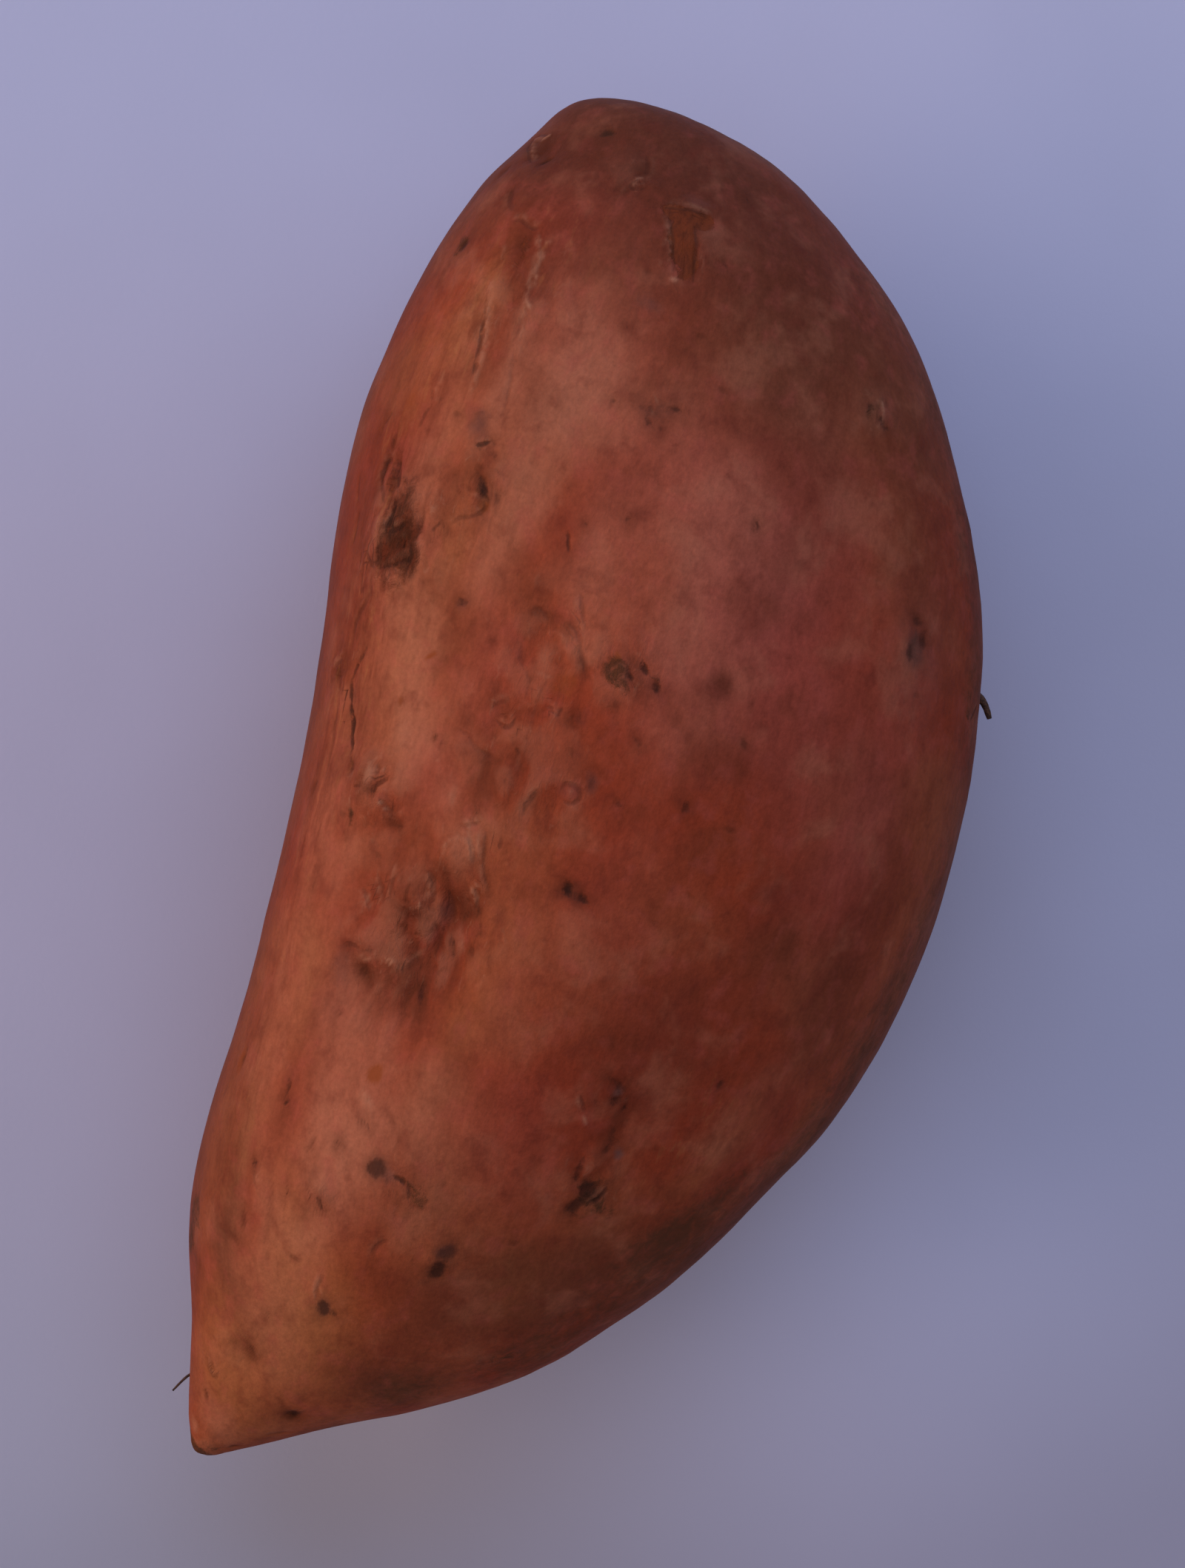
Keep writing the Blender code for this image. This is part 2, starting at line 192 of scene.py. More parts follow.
# Creases and cracks: the points they run through as x, y, x, y, half width, depth, darkness,
# and how pale the lip on their left is; a negative one is on their right. The darkness is the
# cracks' and scars' own colour and painted shade in the folds; the pale lip is a painted
# highlight.
Crease = namedtuple("Crease", "route wide deep dark pale")
CREASES = [Crease(*row) for row in (
    # The long crack
    ((0.4, 29.2, 1.6, 29.5, 2.6, 29.9, 3.6, 30.1, 4.8, 30.6, 6.2, 31.1, 7.6, 31.4, 8.8, 31.6),
     0.26, 0.5, 1, -0.2), ((8.4, 31.5, 10.3, 31.4, 12.8, 31.1), 0.16, 0.2, 0.7, 0),
    ((-1, 28.3, -0.2, 28.8, 0.6, 29.2), 0.14, 0.2, 0.4, 0),
    ((9.1, 33.7, 9.9, 33.5, 10.4, 33), 0.2, 0.2, 0.3, 0.7),
    ((-3, 30.9, 0, 31.3, 3, 31.8, 6, 32.3, 8.6, 32.9), 0.22, 0.15, 0.3, 0.2),
    # Star knob
    ((-3, 27, -2.6, 26.6, -2.5, 26), 0.16, 0.2, 0.45, 0.2),
    ((0.4, 25.8, -0.4, 25.4, -1, 25.6), 0.14, 0.25, 0.4, 0.3),
    ((-0.8, 24.3, -1.6, 24.9, -2.4, 25.2, -3.2, 25.1), 0.2, 0.3, 0.6, 0.3),
    ((-3.4, 24.4, -4, 23.6, -4.9, 22.9), 0.22, 0.25, 0.35, -0.3),
    ((-3.2, 22.2, -4.2, 22.8, -4.8, 23.7), 0.14, 0.15, 0.1, 0.4),
    # Folds in the hollow
    ((-3, 11.9, -5.2, 11.5, -7.6, 10.9, -9.8, 9.7), 0.18, 0.2, 0.25, -0.4),
    ((-3.6, 9.8, -5.2, 9.8), 0.2, 0.1, 0.4, 0),
    ((-14, 20, -14.9, 19.2, -15, 17.8, -14.5, 16.4), 0.4, 0.15, 0.2, 0.2),
    ((-9.6, 17.4, -10.6, 16.4, -12.2, 16, -13.4, 16.2), 0.3, 0.25, 0.35, -0.5),
    ((-22, 17.5, -21, 16.9, -20, 16.4, -19.2, 15.4), 0.3, 0.12, 0.2, 0.4),
    ((-22.6, 18.2, -21.4, 17.9, -20.6, 17.8), 0.18, 0.15, 0.3, 0.6),
    ((-20.6, 24.2, -20.2, 23.4, -20.6, 22.6), 0.25, 0.2, 0.4, 0.2),
    ((-16.2, 22.6, -14.9, 23.1, -13.7, 23.9), 0.25, 0.2, 0.3, 0.6),
    ((-15, 21.4, -13.4, 21.9, -11.6, 22.9), 0.22, 0.15, 0.25, 0.5),
    ((-14.4, 20.4, -12.6, 20.9, -10.8, 20.7), 0.22, 0.15, 0.3, 0.4),
    ((-12.4, 11, -11.2, 10.8, -10.4, 11.4, -10.2, 10.4), 0.18, 0.2, 0.3, 0.9),
    ((-8.4, 15.6, -7.4, 16.4, -6, 16.4, -4.8, 15.4, -4, 14.2), 0.2, 0.1, 0.1, -0.6),
    ((-7.4, 12.3, -5.8, 12.8, -4, 13.8), 0.25, 0.15, 0.25, 0.6),
    ((-3.6, 14.8, -3, 13.6, -2.4, 12.6), 0.2, 0.15, 0.3, 0.6),
    # Puckered middle
    ((7, 18.5, 6.4, 17.2, 5.6, 16.2, 5.2, 15.2, 5, 14.4, 5.3, 13.7), 0.2, 0.15, 0.25, 0.1),
    ((-0.4, 8.4, 1.4, 8, 2.9, 7.3), 0.25, 0.25, 0.4, 0.2),
    ((9.2, 14.8, 8.7, 13.8, 9.1, 12.8, 10.2, 12.6), 0.22, 0.2, 0.5, 0.5),
    ((10.2, 15.6, 11.2, 14.8, 11.4, 13.8), 0.2, 0.15, 0.3, 0.5),
    ((12.2, 12.2, 14.2, 12.3, 15.6, 13.2, 16.8, 14.2, 19, 14.3, 21, 13.8), 0.22, 0.1, 0.2, 0.1),
    ((4, 10.4, 8, 10.4, 12.4, 10.6, 15.4, 10.2), 0.2, 0.08, 0.15, 0.2),
    ((16.8, 6.4, 18.6, 7.2, 20.4, 8, 21.6, 9, 22.2, 10.4), 0.22, 0.12, 0.22, 0.2),
    ((19.4, 8.8, 20.6, 9.6, 21.2, 10.8, 21, 12), 0.22, 0.1, 0.2, 0.2),
    ((21.8, 12.2, 22.6, 13.2, 22.6, 14.6), 0.2, 0.1, 0.2, 0.2),
    ((22.2, 8, 24, 8.8, 26, 9.6), 0.25, 0.12, 0.3, 0.3),
    ((11.2, 8, 12.6, 7.8), 0.22, 0.1, 0.45, 0.2), ((12.4, 9.6, 12.3, 8.4), 0.22, 0.1, 0.35, 0.3),
    ((20.3, 0.5, 19.5, 0, 18.9, -0.8), 0.3, 0.3, 0.9, 0),
    ((29.7, 12.2, 31, 12.6, 32.1, 13.1), 0.2, 0.2, 0.7, 0),
    ((3.6, 5.2, 4.5, 4.6, 4.7, 3.6, 4.2, 2.8, 3.2, 2.7, 2.5, 3.4, 2.6, 4.5), 0.25, 0.15, 0.4, 0.2),
    # Bark scar and its streaks
    ((21.2, 32.4, 22, 33.2, 23.4, 33.8, 25, 33.6), 0.22, 0.25, 0.6, -0.2),
    ((21.4, 32.2, 22, 31, 22.8, 30, 23.6, 29.2, 24.8, 29.4, 25.6, 30), 0.22, 0.25, 0.6, 0.2),
    ((22.2, 32.2, 23.2, 32.6, 24.4, 32.3), 0.2, 0.25, 0.6, 0.2),
    ((25.2, 32, 26.8, 32.3, 28.4, 32.4, 29.6, 32.8), 0.32, 0.4, 0.95, 0.3),
    ((24.6, 31.4, 25.6, 31.6, 26.6, 31.1, 27.6, 30.8), 0.25, 0.3, 0.7, 0.4),
    ((30.6, 32.8, 32, 33.2, 33.2, 33.8, 34.2, 34.2), 0.35, 0.3, 0.7, 0.3),
    ((28.6, 33.6, 30.4, 34.6, 32, 35.4, 33.4, 35.7), 0.28, 0.2, 0.45, 0.2),
    ((32.2, 34.9, 33, 35.4, 33.9, 35.1, 33.6, 34.6), 0.25, 0.2, 0.5, 0.3),
    ((20.8, 34.3, 22.8, 34.7), 0.2, 0.15, 0.5, 0.2),
    ((18, 33.2, 20.2, 33.6, 22, 34.1), 0.2, 0.15, 0.4, 0.3),
    ((23, 36.1, 25, 36.2, 27.4, 36.6), 0.22, 0.12, 0.35, 0.2),
    ((27.6, 36.9, 29.4, 37.4, 31.4, 37.9), 0.22, 0.12, 0.35, 0.2),
    ((37.4, 36.9, 38.6, 36.5, 39.4, 36.4), 0.18, 0.1, 0.35, 0),
    ((12, 32.6, 15, 32.9, 18, 32.3, 20.6, 32.3), 0.3, 0.12, 0.35, 0.2),
    ((27.3, 27.9, 28.2, 27.6, 28.9, 27.2), 0.18, 0.12, 0.5, 0),
    ((28.8, 26, 29.8, 25.4, 30.4, 24.4, 31.2, 23.4, 32.2, 22.8), 0.25, 0.15, 0.4, 0.3),
    ((38.4, 26, 38.7, 25.2, 39.3, 24.6), 0.22, 0.2, 0.9, 0.3),
    ((38.2, 32.9, 39.8, 32.7, 41.2, 32.2), 0.2, 0.12, 0.4, 0),
    ((41.6, 32.3, 43, 32.6), 0.2, 0.1, 0.35, -0.5),
    # Scratches behind the crown
    ((46, 28.4, 48.6, 28.7, 51, 29, 53.4, 29.5, 56.4, 30), 0.14, 0.15, 0.3, -0.8),
    ((44, 28, 47, 28.1, 50, 28.4, 53, 28.7, 56, 29.2), 0.1, 0.05, 0, 0.8),
    ((45.8, 28.7, 48, 28.9, 50.4, 29.2, 52.4, 29.3), 0.2, 0.25, 0.7, 0),
    ((49, 24.3, 52.2, 24.6, 55.4, 25, 58.6, 25.4, 61.4, 25.7), 0.1, 0.05, 0, 0.55),
    ((57.6, 24.7, 59.6, 25, 62, 25.4, 63.6, 26.2), 0.1, 0.05, 0.1, 0.7),
    ((50.6, 25.6, 52.4, 25.2, 54, 25.5), 0.2, 0.1, 0.2, -0.4),
    ((63.8, 29.4, 64.2, 28.4, 63.9, 27.2, 64.2, 26.2), 0.22, 0.15, 0.35, 0.4),
    ((65, 29.6, 66, 30.4, 67.6, 30.2), 0.35, 0.12, 0.35, 0.2),
    ((42, 24.2, 46, 24.4, 50.4, 25), 0.2, 0.08, 0.2, 0.2),
    # Crown
    ((70, 19.4, 71.4, 18.6, 72.5, 17.6, 73, 16.8, 74, 16.5, 75.4, 17.1), 0.3, 0.1, 0.2, -0.2),
    ((71.3, 17.8, 71.2, 17, 71.7, 16), 0.2, 0.15, 0.3, 0.7),
    ((71, 29.4, 72.4, 30.2, 74, 29.6, 74.3, 28.6), 0.22, 0.2, 0.45, -0.7),
    ((70.2, 13.3, 70.7, 11.6, 70.9, 9.8, 70.6, 8.2), 0.2, 0.15, 0.5, 0.5),
    ((69.5, 12.8, 66.7, 11.3, 63.3, 10.2), 0.16, 0.1, 0.3, -0.4),
    ((69.4, 9.8, 66.7, 8.6, 63.4, 7.9), 0.2, 0.12, 0.45, 0),
    # Tail
    ((-69.8, 24.4, -70.8, 24.1, -71.7, 23.5, -71.9, 22.8, -71.1, 22.7), 0.18, 0.15, 0.35, 0.6),
    ((-70.2, 23.8, -70.9, 23.4, -71.2, 23), 0.15, 0.1, 0.25, 0.5),
    ((-43.9, 10.4, -44.1, 9.3, -44.5, 8.3), 0.22, 0.2, 0.8, 0),
    ((-44.2, 8.5, -45, 8, -46, 7.9), 0.2, 0.15, 0.5, 0),
    ((-53.8, 9.7, -52.6, 9.9, -51.6, 9.3, -51.2, 8.5), 0.25, 0.15, 0.3, 0.2),
    ((-47.9, 25.9, -49, 25.7, -50.2, 25), 0.18, 0.15, 0.25, 0.6),
    ((-59.6, 14.4, -58.6, 14.8, -57.2, 14.5), 0.18, 0.1, 0.1, 0.7),
    # Bulging side
    ((-40.6, -12.7, -39.6, -13.2, -38.2, -13.7), 0.22, 0.2, 0.7, 0.3),
    ((-38.6, -10, -37.4, -9.9, -35.8, -10.1), 0.28, 0.15, 0.45, 0),
    ((-30.8, -8.4, -29.9, -7.9, -29, -7.4), 0.2, 0.15, 0.4, 0.5),
    ((-28.2, -12.5, -27.8, -12.6), 0.12, 0.1, 0.2, 0.9),
    ((53.8, -16.9, 55.4, -16.7, 56.6, -15.9), 0.2, 0.15, 0.3, -0.6),
    ((24.6, -36.9, 26.6, -37.1, 27.8, -36.9), 0.22, 0.2, 0.7, 0.4),
)]

# Soft dabs of colour by kind: x, y, half lengths, turn and amount. The kinds in CLOUDS, given
# with the strength they are laid on with, are broad clouds of the skin's own colour, and the
# dull brown one also painted shade, laid in that order; the others are small.
CLOUDS = {"orange": 0.8, "salmon": 0.85, "rose": 0.75, "brick": 0.75, "maroon": 0.8, "dull_brown_and_shade": 0.8}
DABS = {
    "orange": (
        (-63, 15, 13, 7, 5, 0.7), (-46, 28, 14, 2.6, 2, 0.4), (-69, 23, 9, 6, 12, 0.6),
        (-27, 27, 8, 3, 5, 0.4), (12, 26.5, 8, 3, 3, 0.4), (27, 26, 5, 2, 0, 0.3),
        (38, 30, 8, 2, 0, 0.3), (45, 35, 7, 3, 0, 0.3), (-54, 20, 6, 3, 5, 0.6),
        (-30, -24, 7, 3, -15, 0.5), (-52, -6, 5, 4, -30, 0.4), (-24, 9, 6, 3, 0, 0.3),
        (55, 31, 8, 3, 0, 0.4), (-38, 31, 14, 4, 4, 0.35),
    ),
    "salmon": (
        (-58, 22, 14, 5, 8, 0.55), (49, 6, 6, 5, 0, 0.4), (-28, 21, 8, 6, 0, 0.6),
        (38, 31, 12, 4, 0, 0.4), (40, 4, 8, 5, 0, 0.3), (-42, 17, 8, 5, 10, 0.9),
        (-37, 8, 8, 4, 5, 0.5), (5, 23, 5, 3.5, 0, 0.7), (12, 26, 8, 3.5, 3, 0.6),
        (-31, 29, 12, 5, 3, 0.4), (-9, 29, 12, 5, 3, 0.5), (22, 30, 12, 5, 8, 0.5),
        (26, 0, 9, 7, 10, 0.7), (31, 9, 6, 4, 0, 0.5), (48, 17, 8, 6, 0, 0.8),
        (46, 25, 6, 2, 0, 0.6), (38, -4, 8, 5, 0, 0.6), (16, -7, 6, 3, 0, 0.5),
        (-20, 4, 8, 3, 0, 0.2), (-53, 18, 5, 3, 0, 0.6), (60, 18, 6, 6, 0, 0.4),
        # The first two dabs in this row lighten the knob in the hollow and the smooth pillow:
        # painted highlight.
        (-11.6, 18.5, 2, 1.8, 0, 0.4), (-6.2, 14.2, 2.8, 1.8, 20, 0.5), (-76, 22.6, 3, 2, 20, 0.5),
        (32, 20, 8, 3, 0, 0.6), (-0.8, 17, 2, 1.2, 0, 0.5),
    ),
    "rose": (
        (30, -12, 14, 10, 0, 1), (8, -29, 13, 6, 0, 0.9), (38, 2, 11, 8, 0, 0.4),
        (16, -20, 9, 5, 0, 0.6), (-36, -2, 8, 5, 0, 0.5), (20, -5, 10, 5, 0, 0.5),
        (-27, -26, 8, 5, -20, 0.4), (50, -12, 10, 6, 20, 0.3), (-8, -4, 10, 5, 0, 0.4),
        (68, 22, 5, 6, 0, 0.6), (1, 19, 5, 4, 0, 0.5), (15, 17, 8, 4, 10, 0.5),
        (56, 20, 8, 6, 0, 0.3), (28, -29, 9, 5, 15, 0.4),
    ),
    "maroon": (
        (76, 18, 9, 22, 0, 1), (78, 22, 5, 8, 0, 0.8), (44, -32, 12, 4, 20, 0.8),
        (-42, -26, 14, 4, -30, 0.6), (64, 21, 5, 9, 0, 0.6), (-2, -33, 14, 5, 0, 0.8),
        (-5, -23.5, 8, 4, 0, 0.5), (68, -4, 7, 12, 20, 0.6), (62, -12, 6, 6, 0, 0.5),
        (20.6, -8.7, 1.6, 1.5, 0, 0.8), (0, -23.3, 2, 1.8, 0, 0.5), (-13, 13, 4, 2.5, 0, 0.5),
        (12.5, -12, 3, 3, 0, 0.4), (-21, -13, 11, 7, -8, 0.7), (-24, -27, 8, 4, -20, 0.2),
        (15, -18, 6, 5, 0, 0.3), (15, -26, 7, 4, 0, 0.35), (-24, -16, 7, 5, 0, 0.3),
    ),
    # Dull brown skin along the straighter flank, and painted shade at the crown, on the bulging
    # side, in the hollow and low on the tail.
    "dull_brown_and_shade": (
        (66, 10, 11, 14, 0, 0.7), (77, 16, 8, 22, 0, 1), (60, -6, 10, 11, 0, 0.8),
        (56, -20, 11, 6, 30, 0.9), (40, -27, 12, 5, 25, 0.6), (-56, 0, 8, 5, -30, 0.8),
        (-67, 5, 5, 5, -50, 0.9), (-50, -12, 12, 6, -35, 0.9), (-35, -26, 10, 6, -25, 0.3),
        (-21, 17, 6, 6, 0, 0.65), (-14, 19, 8, 4, 20, 0.45), (3, 11.5, 6, 4, 0, 0.45),
        (35, -12, 5, 3, 0, 0.4), (-10, -32, 9, 5, 0, 0.5), (74, 26, 7, 6, 0, 0.9),
        (-2, 13.5, 3, 1.5, 0, 0.4), (28, 35, 12, 4, 8, 0.5), (45, 19, 2, 3, 0, 0.3),
        (59, 34, 6, 2, -15, 0.5), (-55, 31, 8, 2.5, 5, 0.8), (-35, 33, 8, 2, 0, 0.4),
        (12, 34, 12, 2, 0, 0.3), (-66, 20, 4, 3, 0, 0.3), (-45, 8, 6, 4, 0, 0.4),
        (-56, 26.5, 7, 2.5, 6, 0.9), (-44, 30, 16, 4.5, 4, 0.45), (48, -12, 10, 7, 20, 0.5),
        (70, -2, 8, 10, 0, 0.5), (76, 24, 6, 7, 0, 0.8), (55, 26, 6, 4, 0, 0.4),
        (55, -4, 6, 5, 0, 0.4),
    ),
    "brick": (
        (-6, 31, 22, 1.8, 3, 0.25), (20, 34, 12, 2.4, 12, 0.5), (-53, 25, 6, 1.4, 10, 0.8),
        (-34, 30.5, 10, 1.4, 3, 0.6), (12, 12, 10, 5, 0, 0.5), (5, 3, 8, 5, 0, 0.5),
        (-22, -12, 14, 7, 0, 1), (-40, -4, 9, 5, 0, 0.6), (3, -12, 9, 6, 0, 0.6),
        (61, 27.5, 4, 1.6, 0, 0.9), (52, 27, 6, 1.5, 0, 0.6), (-12, 27.6, 5, 1, 0, 0.5),
        (-73, 14, 3, 4, -60, 0.5), (24, 6.5, 2, 1.2, 30, 0.6), (21, 1, 1.2, 0.6, 50, 0.5),
        (6, -3, 10, 5, 0, 0.5), (19, 4, 9, 4, 0, 0.7), (-12, -16, 10, 5, 0, 0.6),
        (-17, -3, 9, 6, 0, 0.6), (28, 5, 10, 4, 0, 0.5), (-5, -33, 10, 5, 0, 0.8),
    ),
    "shade": (
        (-74.2, 23.4, 0.7, 0.5, 30, 0.7), (-78.8, 18.6, 1, 0.4, -60, 0.6),
        (-76, 14, 1.4, 0.4, -62, 0.5), (-68.2, 20.3, 1.6, 1.2, 10, 0.55),
        (-66.9, 21, 0.8, 0.4, 80, 0.3), (-67.8, 22.1, 0.6, 0.4, 0, 0.3),
        (-73.7, 13.4, 1.4, 1.2, 30, 0.7), (-72.4, 15, 1.4, 0.5, 45, 0.4),
        (-71.4, 12.6, 1, 0.7, 0, 0.35), (-56, 25.7, 1, 0.5, 60, 0.5),
        (-53.8, 25.4, 1.3, 0.45, 5, 0.65), (-52, 23, 6, 0.5, 6, 0.4),
        (-43.5, 20.5, 0.8, 0.5, -30, 0.55), (-39.3, 25.6, 1, 0.5, 0, 0.4),
        (-39.5, 15.6, 0.6, 0.5, 0, 0.45), (-38, 12.3, 1.3, 0.4, 50, 0.3),
        (-40.2, 10.8, 0.7, 0.4, 0, 0.3), (-34.2, 11.4, 0.5, 0.7, 0, 0.3),
        (-37, 23, 1.3, 0.35, 5, 0.3), (-28.4, 22.6, 0.6, 0.5, 0, 0.5),
        (-29, 19, 0.6, 0.4, 0, 0.35), (-43, 4.6, 0.5, 0.4, 0, 0.4), (-23.2, 21.7, 2, 1.3, 60, 0.7),
        (-20.7, 16.5, 2.2, 0.7, -28, 0.4), (-23.4, 16.4, 2.6, 2, 0, 0.4),
        (-24.2, 14, 1, 0.6, 0, 0.3), (-14.9, 17.8, 0.9, 2.2, 0, 0.4),
        (-12.6, 13.6, 2.6, 1.9, 5, 0.4), (-13.4, 12.1, 1.6, 1, 0, 0.45),
        (-17.6, 13.2, 1.3, 1, 30, 0.3), (-9.2, 15.4, 1.8, 0.7, 30, 0.5),
        (-17.1, 9.9, 0.8, 0.7, 0, 0.4), (-12.2, 10.6, 1.2, 0.7, 0, 0.5),
        (-5.6, 22.4, 1.5, 0.8, 60, 0.5), (-2.8, 25.2, 1, 0.6, 60, 0.5),
        (-8.6, 10.2, 2, 0.6, 20, 0.4), (-14, 28.4, 4, 0.6, 3, 0.35), (-26, 13.5, 1, 2, 0, 0.3),
        (7.9, 25.8, 1.1, 0.4, -10, 0.4), (5, 21, 0.9, 0.45, 0, 0.5),
        (14.2, 22.5, 0.4, 0.3, 0, 0.4), (18.5, 22.9, 0.5, 0.35, 40, 0.4),
        (4.6, 15, 1, 2.2, 0, 0.35), (1.5, 13.8, 3, 1.5, 0, 0.3), (1.4, 7.8, 2, 0.8, -12, 0.4),
        (11.8, 6.1, 1.3, 1.8, 30, 0.5), (12.6, 5.4, 0.7, 0.4, 0, 0.3),
        (14.4, 2.2, 1, 0.6, -30, 0.45), (7.9, 5, 0.6, 0.3, 10, 0.45), (18, 6.9, 1.8, 0.7, 28, 0.5),
        (21.6, 9.6, 0.7, 1.8, -20, 0.4), (22.3, 13.2, 0.9, 1.6, 0, 0.5),
        (15.3, -5, 1, 0.5, -60, 0.35), (13.6, -10, 1, 0.4, 15, 0.35),
        (14.8, -13.2, 0.9, 0.7, 0, 0.5), (17.5, -14.3, 0.7, 0.6, 0, 0.4),
        (19.3, -12.6, 0.9, 0.5, 0, 0.4), (18.1, -26.3, 0.6, 0.5, 0, 0.4),
        (31, -28.6, 2, 1.1, 0, 0.5), (34.4, -27.4, 0.8, 1, 0, 0.4), (23.4, -25.2, 1.4, 1, 0, 0.3),
        (38.8, -7.2, 0.7, 0.6, 0, 0.5), (28.3, 6.5, 0.6, 0.4, 0, 0.3),
        (29.2, -2, 0.9, 0.9, 0, 0.2), (40.2, 4.6, 1.1, 0.5, 20, 0.35),
        (52, 7.4, 0.6, 0.5, 0, 0.35), (26.6, 30.4, 1.8, 1.2, 0, 0.6), (24.6, 29, 2.8, 0.6, 3, 0.5),
        (32.2, 33.7, 2.8, 0.6, 18, 0.7), (31.5, 35.2, 3.6, 0.8, 12, 0.45),
        (36, 35, 1.6, 0.6, 0, 0.35), (30, 29.4, 4.2, 0.5, 5, 0.4), (32, 31, 6, 1.4, 0, 0.3),
        (24, 19, 1.6, 1.2, 0, 0.2), (52.8, 25.2, 0.9, 0.3, 15, 0.3),
        (61.6, 27.6, 2.5, 1.3, 5, 0.55), (57.6, 32.4, 3.2, 0.9, -5, 0.3),
        (66.5, 30.4, 1.3, 0.6, 0, 0.4), (69, 31.8, 1, 0.6, -20, 0.5),
        (58.3, 20.5, 0.9, 0.5, 0, 0.3), (66, 6.4, 1.2, 0.5, 70, 0.35),
        (72.8, 28.8, 1.6, 1.2, 0, 0.55), (70.6, 18.5, 1.4, 0.7, -25, 0.45),
        (73.7, 16.8, 1.1, 1.2, 0, 0.45), (-21.8, -8.8, 1.4, 0.7, 20, 0.4),
        (-32.5, -17.7, 1.1, 0.5, 70, 0.4), (-37.7, -4.8, 0.6, 0.7, 0, 0.35),
        (-17, -23, 0.7, 0.5, 0, 0.4), (-5.5, -25, 2.6, 1.5, 0, 0.3), (-31, -12.4, 3, 1.4, 0, 0.4),
        (-7.2, 0.1, 1.2, 1.8, -20, 0.5), (32.8, 23.4, 1.3, 0.8, 20, 0.6),
        (40.6, 26.3, 1.6, 1.1, 50, 0.35), (70.2, 8.8, 0.9, 0.8, 0, 0.6),
        (70.6, 13, 0.9, 0.4, 80, 0.5), (20.7, -8.7, 1.5, 1.4, 0, 0.55),
        (-43.8, 12.4, 1.5, 1.4, 0, 0.4), (75, 25, 5, 6, 0, 0.42), (74, 12, 6, 8, 0, 0.2),
        (46, -34, 8, 4, 20, 0.35),
    ),
    # Pale dry skin, and painted highlights on ridges, bumps and the lips of pits and scratches.
    "pale": (
        (-77.6, 23.5, 1.3, 0.9, 30, 0.5), (-58.6, 14.7, 1.2, 0.3, 10, 0.4),
        (-72.8, 12.8, 0.8, 0.2, 100, 0.5), (-48.9, 25.6, 1.1, 0.3, 15, 0.35),
        (-36.4, 16.2, 1.6, 0.6, 40, 0.5), (-38.6, 15.4, 2, 1.4, 10, 0.25),
        (-12.9, 18.2, 0.5, 0.5, 0, 0.3), (-11.2, 18.9, 0.7, 0.5, 20, 0.3),
        (-11.4, 16.3, 1.3, 0.3, 15, 0.4), (-6.4, 14.6, 1.8, 1.2, 20, 0.3),
        (-5, 13.2, 2, 0.35, 25, 0.6), (-5, 12.2, 1.5, 0.3, 10, 0.5),
        (-21.4, 21.9, 1.1, 0.35, 100, 0.65), (-20.8, 19, 0.35, 0.35, 0, 0.9),
        (-17, 11.4, 0.9, 0.5, 0, 0.35), (-10.8, 11, 0.9, 0.25, 10, 0.6),
        (-15, 23.1, 0.9, 0.35, 30, 0.6), (-15.7, 23.9, 0.4, 0.3, 0, 0.5),
        (-12.4, 22.6, 1.6, 0.3, 22, 0.4), (-10.8, 20.9, 0.6, 0.4, 0, 0.45),
        (-3.8, 23.9, 0.9, 0.25, 60, 0.8), (-2.2, 24.1, 0.6, 0.22, 70, 0.4),
        (-13.9, 29.5, 0.8, 0.5, 0, 0.25), (-7, 28.7, 1, 0.6, 20, 0.35),
        (-1.2, 26, 1.3, 0.6, 0, 0.75), (-0.1, 25.3, 0.6, 0.3, 20, 0.5),
        (4.2, 24.6, 2.4, 1.6, 0, 0.3), (-0.8, 17, 1.4, 0.7, 10, 0.4), (2, 18.3, 0.9, 0.4, 30, 0.3),
        (2.7, 20, 0.4, 0.25, 90, 0.4), (-2.8, 14.4, 0.4, 0.8, 0, 0.4),
        (9.5, 12.9, 0.25, 0.22, 0, 0.9), (9.4, 13.8, 0.3, 0.25, 0, 0.5),
        (18, 11.4, 1.6, 1.2, 0, 0.35), (15.7, 10.6, 0.25, 1, 0, 0.4),
        (18.1, 3.5, 0.25, 0.3, 0, 0.6), (3.5, 3.9, 0.6, 0.5, 0, 0.35),
        (4.6, 4.2, 0.3, 0.8, 0, 0.3), (26, 30.4, 0.4, 0.3, 20, 0.9),
        (32.8, 24.1, 0.9, 0.2, 85, 0.6), (35, 22.8, 2.6, 1.2, 0, 0.2),
        (44.4, 32, 1.2, 0.6, 0, 0.4), (44, 28.5, 1.3, 0.35, 15, 0.45), (43.2, 35, 2, 0.8, 0, 0.2),
        (55.4, 25, 0.6, 0.3, 45, 0.8), (58.6, 25.1, 0.4, 0.4, 0, 0.6),
        (61, 25.2, 0.7, 0.4, 0, 0.6), (62.7, 25.3, 0.7, 0.25, 85, 0.7),
        (60.4, 29.3, 0.8, 0.4, 0, 0.3), (63, 10, 0.3, 0.5, 0, 0.7), (66.4, 12, 1, 0.4, -30, 0.4),
        (68.4, 12.2, 0.9, 0.8, 0, 0.3), (65.6, 8.3, 0.7, 0.2, 15, 0.4),
        (71.4, 9.6, 0.25, 0.8, 0, 0.3), (73.9, 28.8, 0.5, 0.22, -40, 0.9),
        (72.3, 17.4, 0.9, 0.2, 120, 0.5), (49.8, 8, 0.8, 0.25, 20, 0.4),
        (47.9, 7.9, 0.3, 0.3, 0, 0.5), (56.2, -16.6, 1, 0.2, 40, 0.6),
        (-31.7, -8.5, 0.45, 0.25, 10, 0.6), (-27.9, -12.6, 0.3, 0.15, 0, 0.7),
        (-32.3, -19.4, 0.4, 0.15, 0, 0.4), (10, 33.6, 0.8, 0.25, -20, 0.5),
    ),
    "gold": (
